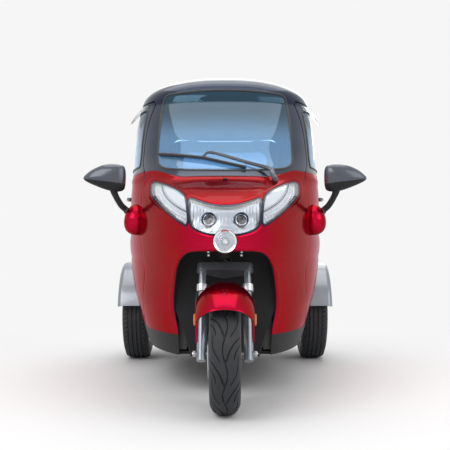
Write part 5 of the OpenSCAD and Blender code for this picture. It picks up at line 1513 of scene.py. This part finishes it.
def tyre_mesh(centre, size, grooves, n=240, shoulder=0.86):
    """A tyre as a profile turned about its axle. grooves(s, turn) gives the depth cut at the share s across the
    tread (-1 to 1) and the turn from 0 to 1; outside it the profile is the CAD tyre's."""
    r, side, crown = size
    h = r - RIM_R
    wall = np.array([[0, 0.72], [0.15, 0.73], [0.2, 0.86], [0.36, 0.975], [0.5, 1.0], [0.66, 0.975], [0.82, 0.90]])
    wall = wall[RIM_R + wall[:, 0] * h < r - crown - 0.003]
    wall = spline(np.stack([RIM_R + wall[:, 0] * h, wall[:, 1] * side], -1), 20)
    s = np.linspace(1, -1, 61)
    tread = np.stack([r - crown * s**2, shoulder * side * np.sign(s) * np.sqrt(np.abs(s))], -1)
    even = np.interp(np.linspace(tread[0, 1], tread[-1, 1], 90), tread[::-1, 1], tread[::-1, 0])
    across = np.linspace(tread[0, 1], tread[-1, 1], 90)
    inner = np.array([[r - 0.016 - crown * 0.45, -0.5 * side], [r - 0.014, 0],
                      [r - 0.016 - crown * 0.45, 0.5 * side]])
    low = np.array([[RIM_R + 0.4 * h, side - 0.011], [RIM_R + 0.14 * h, 0.84 * side - 0.011],
                    [RIM_R, 0.72 * side - 0.011]])
    prof = np.concatenate([wall, np.stack([even, across], -1), wall[::-1] * [1, -1], low[::-1] * [1, -1], inner, low])
    turn = np.linspace(0, 1, n, endpoint=False)[:, None]
    radius = prof[None, :, 0] + 0 * turn
    span = slice(len(wall), len(wall) + 90)
    share = across / (shoulder * side)
    radius[:, span] -= grooves(share[None, :], turn)
    ring_r = prof[: len(wall), 0]
    sipe = 0.0012 * (np.abs(ring_r - (RIM_R + 0.62 * h)) < 0.003)
    radius[:, : len(wall)] += sipe[None, :]
    x = prof[None, :, 1] + 0 * turn
    a = 2 * np.pi * turn
    V = np.stack([x, radius * np.cos(a), radius * np.sin(a)], -1).reshape(-1, 3) + centre
    V, T, _ = outward(V, grid_tris(n, len(prof), True, True))
    return V, T, 0


def car_tread(depth):
    """Four grooves round the tyre, short slots between them and blocks at the shoulders."""
    def cut_depth(s, turn):
        d = np.zeros(np.broadcast_shapes(s.shape, turn.shape))
        for at in (-0.56, -0.19, 0.19, 0.56):
            d = np.maximum(d, depth * ease((0.060 - np.abs(s - at)) / 0.025))
        wave = np.abs(((turn * 60 + 0.5 * np.sign(s) * 0.5 + s * 0.8) % 1) - 0.5) * 2
        shoulder = ease((np.abs(s) - 0.60) / 0.05) * ease((0.30 - wave) / 0.15)
        slots = ease((0.50 - np.abs(np.abs(s) - 0.375)) / 0.3) * ease((0.16 - wave) / 0.1) * (np.abs(s) < 0.53)
        return np.maximum(d, np.maximum(depth * 0.9 * shoulder, depth * 0.45 * slots))
    return cut_depth


def scooter_tread(depth):
    """A waving groove down the middle, long grooves that sweep from it to the shoulders half a step apart, and
    short ones between them."""
    def cut_depth(s, turn):
        steps = 8
        off = s - 0.16 * np.sin(2 * np.pi * turn * steps)
        out = np.abs(off)
        shift = turn * steps + np.where(off > 0, 0.5, 0.0)
        middle = ease((0.040 - out) / 0.02)
        long_cut = ease((0.036 - np.abs((shift + 0.62 * out**1.3) % 1 - 0.5)) / 0.018) * ease((0.96 - np.abs(s)) / 0.06)
        short = ease((0.030 - np.abs((shift + 0.95 * out + 0.22) % 1 - 0.5)) / 0.016)
        short = short * ease((out - 0.30) / 0.05) * ease((0.86 - np.abs(s)) / 0.05)
        spur = ease((0.026 - np.abs((shift + 0.70 * out + 0.62) % 1 - 0.5)) / 0.014)
        spur = spur * ease((out - 0.62) / 0.05) * ease((0.97 - np.abs(s)) / 0.05)
        return depth * np.maximum(np.maximum(middle, long_cut), np.maximum(short, spur) * 0.8)
    return cut_depth


class TRIKE_OT_wheels(PieceOperator, Operator):
    """Three tyres with cut treads, valve stems, wheel bolts and hub caps"""
    bl_idname = "tricycle.wheels"
    bl_label = "Wheels"

    def execute(self, context):
        M, s = MATERIALS, self.sizes
        front = tyre_mesh(FRONT_AXLE, FRONT_TYRE, scooter_tread(s.groove), 352, 0.96)
        add_object("front_tyre_tread", front, [M["rubber"]], "front_wheel", ["front_tyre"], sharp=50)
        for side, name in ((1, "left"), (-1, "right")):
            hub = np.array([side * TRACK / 2, REAR_AXLE[1], REAR_AXLE[2]])
            body = f"rear_{name}_wheel"
            rear = tyre_mesh(hub, REAR_TYRE, car_tread(s.groove))
            add_object(f"rear_{name}_tyre_tread", rear, [M["rubber"]], body, [f"rear_{name}_tyre"], sharp=50)
            nuts = []
            for k in range(5):
                a = 2 * np.pi * (k + 0.5) / 5
                p = hub + [side * 0.041, 0.026 * math.cos(a), 0.026 * math.sin(a)]
                nuts.append(lathe([[0, 0.006], [0.004, 0.0055], [0.0065, 0.003], [0.0065, -0.008],
                                   [0, -0.008]] * np.array([1, side]), p, 6, 0))
            cap = lathe(np.array([[0, 0.012], [0.008, 0.0115], [0.014, 0.008], [0.016, 0.0], [0.016, -0.010],
                                  [0, -0.010]]) * [1, side],
                        hub + [side * 0.044, 0, 0], 40, 0)
            valve = tube([hub + [side * 0.030, 0, 0.125], hub + [side * 0.052, 0, 0.118]], 0.0035, 10)
            add_object(f"rear_{name}_hub_cap", join(cap, *nuts, valve), [M["chrome"]], body)
        return {"FINISHED"}


class TRIKE_OT_front_end(PieceOperator, Operator):
    """Front fender, fork caps, clamps, axle nuts, reflectors, brake calliper and arch bolts"""
    bl_idname = "tricycle.front_end"
    bl_label = "Front end"

    def execute(self, context):
        M = MATERIALS
        r0 = 0.284
        a = np.radians(np.linspace(90 - 52, 90 + 47, 70))[:, None]
        x = np.linspace(-1, 1, 49)[None, :]
        width = 0.112 * np.sqrt(np.clip(1 - 0.10 * np.clip((np.abs(a - np.pi / 2) - 0.55) / 0.35, 0, 1) ** 2, 0, 1))
        drop = 0.034 * np.abs(x) ** 5 + 0.040 * x**2

        def at(d):
            r = r0 - d - drop * 1.0
            return np.stack([x * (width - d * 0.8) + 0 * a, FRONT_AXLE[1] - r * np.cos(np.pi - a),
                             FRONT_AXLE[2] + r * np.sin(a)], -1).reshape(-1, 3)

        T = grid_tris(70, 49)
        V, W = at(0.0), at(0.004)
        n = vertex_normals(V, T)
        if (n[:, 2].mean()) < 0:
            T = T[:, ::-1]
        mesh = shell_mesh(V, W, T, 0.0016)
        legs = []
        for side in (-1, 1):
            s = np.linspace(0.045, 0.215, 30)
            path = np.stack([fork_point(v, -0.002, side * (FORK_X + 0.0205)) for v in s])
            legs.append(sweep(path, [[-0.0035, -0.011], [0.0035, -0.011], [0.0035, 0.011], [-0.0035, 0.011]],
                              up=(0, 1, 0.3),
                              scale=np.interp(s, [0.045, 0.07, 0.16, 0.215], [0.6, 0.95, 0.9, 1.2])))
        add_object("front_fender_shell", join(mark(mesh, mesh[2]), *[mark(l, 0) for l in legs]),
                   [M["red"], M["plastic"]], "steering",
                   ["front_fender"])
        chrome, amber, dark = [], [], []
        for side in (-1, 1):
            out = side * (FORK_X + 0.0185)
            chrome.append(lathe(np.array([[0, 0.012], [0.005, 0.012], [0.0055, 0.010], [0.011, 0.0095],
                                          [0.0125, 0.008], [0.0125, 0.0], [0, 0.0]]) * [1, side],
                                [out + side * 0.006, FRONT_AXLE[1], FRONT_AXLE[2]], 6, 0))
            for v in (0.196, 0.262):
                c = fork_point(v, 0, side * FORK_X)
                d = fork_point(v + (0.014 if v < 0.25 else 0.030), 0, side * FORK_X)
                chrome.append(tube([c, mix(c, d, 0.5), d], 0.0210 if v < 0.25 else 0.0235, 32, up=(1, 0, 0)))
            c = fork_point(0.141, -0.006, side * (FORK_X + 0.0285))
            amber.append(blob(c, [0.0050, 0.013, 0.024], (4, 4), (32, 16)))
            for k in (0, 1):
                bolt = [side * 0.066, float(front_y(0.630, 0.0)) + 0.045 + 0.020 * k, 0.636 - 0.014 * k]
                chrome.append(lathe([[0, -0.005], [0.003, -0.005], [0.0065, -0.003], [0.0065, 0.004], [0, 0.004]],
                                    bolt, 6, 2))
        calliper = join(box_mesh([-0.084, FRONT_AXLE[1] + 0.046, FRONT_AXLE[2] - 0.010],
                                 [-0.054, FRONT_AXLE[1] + 0.100, FRONT_AXLE[2] + 0.050], 0.008))
        dark.append(calliper)
        add_object("fork_trim", join(*chrome[:]), [M["steel"]], "steering")
        add_object("fork_reflectors", join(*amber), [M["amber"]], "steering")
        add_object("brake_calliper", join(*dark), [M["satin"]], "steering")
        hose = tube([[-0.072, FRONT_AXLE[1] + 0.075, 0.284], [-0.098, FRONT_AXLE[1] + 0.100, 0.330],
                     [-0.118, -0.740, 0.420],
                     [-0.100, -0.690, 0.500], [-0.070, -0.655, 0.530]], 0.004, 10, up=(0, 1, 0.4), samples=60)
        add_object("brake_hose", hose, [M["seal"]], "steering")
        return {"FINISHED"}


def cushion(low, high, crown, channels=(), depth=0.006, power=5.0, n=(96, 56), lean=0.0):
    """A stuffed block between two corners: a sphere raised to a high power, crowned as a cosine across its top,
    pulled in on sewn lines, and leaning back by lean for each metre of height."""
    low, high = np.asarray(low, float), np.asarray(high, float)
    size, centre = (high - low) / 2, (high + low) / 2

    def shape(v):
        x, y, z = v.T
        bow = crown * (1 - 0.9 * x**2) * (1 - 0.9 * y**2)
        up = np.clip(z, 0, 1)
        z = z * (1 - crown / size[2]) + up * bow / size[2]
        for axis, at, run in channels:
            pos = (x if axis == 0 else y) - at
            z = z - up * depth / size[2] * np.exp(-((pos * size[axis]) / run) ** 2)
        return np.stack([x, y, z], -1)

    V, T, m = blob(centre, size, (power, power), n, shape)
    V = V + np.stack([0 * V[:, 2], lean * (V[:, 2] - low[2]), 0 * V[:, 2]], -1)
    return V, T, m


def turned(mesh, pivot, angle):
    """A mesh turned about X through a pivot."""
    c, s = math.cos(angle), math.sin(angle)
    V = mesh[0] - pivot
    V = np.stack([V[:, 0], V[:, 1] * c - V[:, 2] * s, V[:, 1] * s + V[:, 2] * c], -1)
    return V + pivot, mesh[1], mesh[2]


class TRIKE_OT_seats(PieceOperator, Operator):
    """Driver's seat and rear bench: crowned cushions with sewn channels and piping"""
    bl_idname = "tricycle.seats"
    bl_label = "Seats"

    def execute(self, context):
        self.seat("driver_seat", 0.430, -0.090, 0.255, 0.500, 0.290, 0.470, 0.410,
                  ((0, -0.5, 0.006), (0, 0.5, 0.006), (1, 0.1, 0.005)))
        self.seat("rear_bench", 0.700, 0.405, 0.705, 0.476, 0.735, 0.470, 0.855,
                  ((0, 0.0, 0.007), (0, -0.66, 0.006), (0, 0.66, 0.006)))
        return {"FINISHED"}

    def seat(self, name, w, y0, y1, low, back_y, back_h, y_max, channels):
        """A base and a leaning back from the same cushion formula, with a piping cord along the edges."""
        M = MATERIALS
        base = cushion([-w / 2, y0, low], [w / 2, y1, low + 0.118], 0.018, channels)
        lean = math.atan(0.2)
        pivot = np.array([0, back_y, low + 0.05])
        flat = cushion([-w / 2, back_y - 0.020, low + 0.05], [w / 2, back_y - 0.020 + 0.425, low + 0.05 + 0.082],
                       0.022, channels)
        back = turned(flat, pivot, np.pi / 2 - lean)
        top = back[0][:, 2].max()
        back[0][:, 2] -= max(0, top - (low + back_h + 0.004))
        back[0][:, 1] = np.minimum(back[0][:, 1], y_max - 0.004)
        base_obj = add_object(name + "_base", base, [M["seat"]], "root", [name])
        back_obj = add_object(name + "_back", back, [M["seat"]], "root")
        t = np.linspace(0, 2 * np.pi, 160, endpoint=False)

        def ring(half_x, half_y, k=5.0):
            return np.stack([half_x * np.sign(np.cos(t)) * np.abs(np.cos(t)) ** (2 / k),
                             half_y * np.sign(np.sin(t)) * np.abs(np.sin(t)) ** (2 / k)], -1)

        r = ring(w / 2 - 0.0045, (y1 - y0) / 2 - 0.0045)
        loop = np.stack([r[:, 0], r[:, 1] + (y0 + y1) / 2, np.full(160, low + 0.062)], -1)
        piping = tube(loop, 0.0028, 8, closed=True)
        add_object(name + "_piping", piping, [M["thread"]], "root")


class TRIKE_OT_cabin(PieceOperator, Operator):
    """Dashboard with its display and switches, handlebar grips, pods and levers, and floor mat"""
    bl_idname = "tricycle.cabin"
    bl_label = "Cabin"

    def execute(self, context):
        M = MATERIALS
        x = np.linspace(-0.29, 0.29, 61)[None, :]
        t = np.linspace(0, 2 * np.pi, 48, endpoint=False)[:, None]
        cy, cz = -0.299, 0.870
        ry, rz = 0.040, 0.069
        k = 2 / 3.0
        y = cy + ry * np.sign(np.cos(t)) * np.abs(np.cos(t)) ** k + 0 * x
        z = cz + rz * np.sign(np.sin(t)) * np.abs(np.sin(t)) ** k * (1 - 0.10 * (np.abs(x) / 0.29) ** 3)
        z = np.where((np.abs(x) < 0.072) & (z < 0.913), np.maximum(z, 0.9125), z)
        V = np.stack([x + 0 * t, y, z], -1).reshape(-1, 3)
        rows, cols = 48, 61
        T = grid_tris(rows, cols, True, False)
        caps = np.array([[-0.29, cy, cz], [0.29, cy, cz]])
        i = np.arange(rows)
        T = np.concatenate([T, np.stack([np.full(rows, rows * cols), i * cols, ((i + 1) % rows) * cols], 1),
                            np.stack([np.full(rows, rows * cols + 1), ((i + 1) % rows) * cols + cols - 1,
                                      i * cols + cols - 1], 1)])
        dash = outward(np.concatenate([V, caps]), T)
        add_object("dashboard_shell", dash, [M["plastic"]], "root", ["dashboard"])
        panel = turned(box_mesh([-0.060, -0.006, -0.036], [0.060, 0.006, 0.036], 0.006), np.zeros(3),
                       math.radians(-24))
        at = np.array([0.165, -0.262, 0.905])
        screen = turned(box_mesh([-0.052, 0.004, -0.029], [0.052, 0.0075, 0.029], 0.002), np.zeros(3),
                        math.radians(-24))
        add_object("display_housing", (panel[0] + at, panel[1], 0), [M["satin"]], "root")
        add_object("display_glass", (screen[0] + at, screen[1], 0), [M["screen_glass"]], "root")
        knobs = []
        for side in (-1, 1):
            for k in range(3):
                p = [side * 0.215 + 0.028 * (k - 1) * (1 if side < 0 else 0.0) , -0.262 - 0.002,
                     0.860 + (0.028 * (k - 1) if side > 0 else 0)]
                knobs.append(lathe([[0, 0.012], [0.006, 0.012], [0.008, 0.010], [0.009, 0.002], [0.009, -0.006],
                                    [0, -0.006]], p, 20, 1))
        add_object("dashboard_switches", join(*knobs), [M["satin"]], "root")
        self.handlebar()
        mat_y = np.linspace(-0.34, -0.08, 140)
        rib = 0.0015 * (np.sin(2 * np.pi * mat_y / 0.012) > 0)
        section = np.stack([mat_y, 0.198 + rib], -1)
        V = np.array([[sx * 0.165, p[0], p[1]] for sx in (-1, 1) for p in section])
        T = grid_tris(2, 140)
        V2 = V - [0, 0, 0.003]
        n = vertex_normals(V, T)
        T = T if n[:, 2].mean() > 0 else T[:, ::-1]
        add_object("floor_mat", mark(shell_mesh(V, V2, T, 0.0006), 0), [M["mat"]], "root")
        return {"FINISHED"}

    def handlebar(self):
        """Ribbed grips, switch pods and two levers, all laid along the bar."""
        M = MATERIALS
        grips, pods, levers = [], [], []
        for side in (-1, 1):
            x = np.linspace(GRIP_FROM, GRIP_TO, 116)
            ribs = (np.sin(2 * np.pi * x / 0.0055) > 0) * (x > GRIP_FROM + 0.009) * (x < GRIP_TO - 0.0085)
            r = 0.0150 + 0.0016 * ribs + 0.001 * (x > GRIP_TO - 0.0065)
            path = np.stack([side * x, np.full(116, BAR_Y), np.full(116, BAR_Z)], -1)
            grips.append(sweep(path, circle(1.0, 24), up=(0, 0, 1), scale=r))
            pods.append(box_mesh([side * 0.117 - 0.018, BAR_Y - 0.022, BAR_Z - 0.020],
                                 [side * 0.117 + 0.018, BAR_Y + 0.022, BAR_Z + 0.024], 0.008))
            lever = spline(np.array([[side * 0.114, BAR_Y - 0.018, BAR_Z], [side * 0.134, BAR_Y - 0.036, BAR_Z],
                                     [side * 0.166, BAR_Y - 0.041, BAR_Z],
                                     [side * 0.198, BAR_Y - 0.034, BAR_Z - 0.002]]), 40)
            levers.append(sweep(lever, circle(0.0060, 14, 0.6), up=(0, 0, 1),
                                scale=np.r_[np.linspace(1.3, 0.85, 34), np.linspace(0.9, 1.5, 6)]))
        add_object("handlebar_grips", join(*grips), [M["seal"]], "handlebar")
        add_object("handlebar_pods", join(*pods), [M["plastic"]], "handlebar")
        add_object("handlebar_levers", join(*levers), [M["satin"]], "handlebar")


class TRIKE_OT_cad_finishes(PieceOperator, Operator):
    """Gives each CAD node that stays in view its finish"""
    bl_idname = "tricycle.cad_finishes"
    bl_label = "Frame and running gear"

    def execute(self, context):
        M = MATERIALS
        table = {
            "frame": ["chassis_frame", "brake_pedal"],
            "plastic": ["floor_pan", "wheelhouse", "battery_box"],
            "steel": ["brake_disc", "steering_column", "rear_springs"],
            "silver": ["fork", "front_rim", "rear_left_rim", "rear_right_rim"],
            "satin": ["handlebar", "rear_axle"],
        }
        for key, names in table.items():
            for name in names:
                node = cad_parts[name]
                node.data.materials.clear()
                node.data.materials.append(M[key])
        return {"FINISHED"}


class TRIKE_OT_stage(PieceOperator, Operator):
    """Pale floor, soft studio light and the camera of the photograph"""
    bl_idname = "tricycle.stage"
    bl_label = "Studio"

    def execute(self, context):
        scene = context.scene
        pale = list(scene.tricycle_paint.floor)
        floor_m = bpy.data.materials.new("Studio floor")
        floor_m.use_nodes = True
        tree = floor_m.node_tree
        bsdf = tree.nodes["Principled BSDF"]
        bsdf.inputs["Roughness"].default_value = 0.9
        bsdf.inputs["Specular IOR Level"].default_value = 0.0
        bsdf.inputs["Emission Strength"].default_value = 1.0
        place = add_node(tree, "ShaderNodeTexCoord")
        reach = add_node(tree, "ShaderNodeVectorMath", {"operation": "LENGTH"}, i0=place.outputs["Object"])
        away = add_node(tree, "ShaderNodeMapRange", {"interpolation_type": "SMOOTHERSTEP"}, i0=reach.outputs["Value"],
                        i1=1.3, i2=2.8)
        noise = add_node(tree, "ShaderNodeTexNoise", Scale=0.6, Detail=2.0)
        tone = add_node(tree, "ShaderNodeMix", {"data_type": "RGBA"}, i0=noise.outputs["Fac"], i6=(*pale, 1),
                        i7=(*[c * 0.985 for c in pale], 1))
        near = add_node(tree, "ShaderNodeMix", {"data_type": "RGBA"}, i0=away.outputs[0], i6=tone.outputs[2],
                        i7=(0, 0, 0, 1))
        glow = add_node(tree, "ShaderNodeMix", {"data_type": "RGBA"}, i0=away.outputs[0], i6=(0, 0, 0, 1),
                        i7=(*pale, 1))
        tree.links.new(near.outputs[2], bsdf.inputs["Base Color"])
        tree.links.new(glow.outputs[2], bsdf.inputs["Emission Color"])
        size = 40.0
        me = bpy.data.meshes.new("floor")
        me.from_pydata([(-size, -size, 0), (size, -size, 0), (size, size, 0), (-size, size, 0)], [], [(0, 1, 2, 3)])
        me.materials.append(floor_m)
        floor = bpy.data.objects.new("floor", me)
        scene.collection.objects.link(floor)

        world = bpy.data.worlds.new("Studio")
        scene.world = world
        world.use_nodes = True
        tree = world.node_tree
        back = tree.nodes["Background"]
        back.inputs["Color"].default_value = (*pale, 1)
        rays = tree.nodes.new("ShaderNodeLightPath")
        seen = add_node(tree, "ShaderNodeMath", {"operation": "MAXIMUM"}, i0=rays.outputs["Is Camera Ray"],
                        i1=rays.outputs["Is Glossy Ray"])
        seen = add_node(tree, "ShaderNodeMath", {"operation": "MAXIMUM"}, i0=seen.outputs[0],
                        i1=rays.outputs["Is Transmission Ray"])
        power = add_node(tree, "ShaderNodeMath", {"operation": "MULTIPLY_ADD"}, i0=seen.outputs[0], i1=0.42, i2=0.58)
        tree.links.new(power.outputs[0], back.inputs["Strength"])

        # Name, place, side and power in watts
        lamps = (
            ("key", (-2.6, -3.4, 3.6), 3.0, 90),
            ("fill", (3.2, -2.6, 2.6), 3.0, 46),
            ("top", (0.0, 0.6, 4.2), 3.5, 62),
            ("rear", (0.5, 4.0, 3.0), 3.0, 46),
        )
        for name, place, size, watts in lamps:
            data = bpy.data.lights.new(name, "AREA")
            data.size = size
            data.energy = watts
            light = bpy.data.objects.new(name, data)
            scene.collection.objects.link(light)
            light.location = place
            aim = np.array([0, 0, 0.7]) - np.array(place)
            light.rotation_euler = (math.acos(-aim[2] / np.linalg.norm(aim)), 0, math.atan2(-aim[0], aim[1]))
        cam = bpy.data.cameras.new("camera")
        cam.sensor_width = SENSOR_MM
        cam.lens = FOCAL_PX / PHOTO_PX * SENSOR_MM
        cam.shift_y = HORIZON_PX / PHOTO_PX
        eye = bpy.data.objects.new("camera", cam)
        eye.location = EYE
        eye.rotation_euler = (math.pi / 2, 0, 0)
        scene.collection.objects.link(eye)
        scene.camera = eye
        scene.view_settings.view_transform = "Standard"
        return {"FINISHED"}


class TRIKE_PT_panel(Panel):
    """Lists the settings and the pieces"""
    bl_idname = "TRIKE_PT_panel"
    bl_label = "Electric Tricycle"
    bl_space_type = "VIEW_3D"
    bl_region_type = "UI"
    bl_category = "Tricycle"

    def draw(self, context):
        for settings in (context.scene.tricycle_paint, context.scene.tricycle_sizes):
            box = self.layout.box()
            for key in type(settings).__annotations__:
                box.prop(settings, key)
        for cls in STEPS:
            self.layout.operator(cls.bl_idname)


STEPS = [TRIKE_OT_finishes, TRIKE_OT_front_panel, TRIKE_OT_headlamp, TRIKE_OT_side_lamps, TRIKE_OT_nose_lamp,
         TRIKE_OT_windscreen, TRIKE_OT_roof, TRIKE_OT_doors, TRIKE_OT_rear_body, TRIKE_OT_tailgate, TRIKE_OT_wheels,
         TRIKE_OT_front_end, TRIKE_OT_seats, TRIKE_OT_cabin, TRIKE_OT_cad_finishes, TRIKE_OT_stage]
CLASSES = [PaintSettings, SizeSettings, *STEPS, TRIKE_PT_panel]


def register():
    for cls in CLASSES:
        bpy.utils.register_class(cls)
    bpy.types.Scene.tricycle_paint = PointerProperty(type=PaintSettings)
    bpy.types.Scene.tricycle_sizes = PointerProperty(type=SizeSettings)


def unregister():
    del bpy.types.Scene.tricycle_sizes
    del bpy.types.Scene.tricycle_paint
    for cls in reversed(CLASSES):
        bpy.utils.unregister_class(cls)


def main():
    """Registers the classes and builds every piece."""
    register()
    for cls in STEPS:
        area, name = cls.bl_idname.split(".")
        if getattr(getattr(bpy.ops, area), name)() != {"FINISHED"}:
            raise RuntimeError(f"{cls.bl_label} did not finish")


if __name__ == "__main__":
    main()
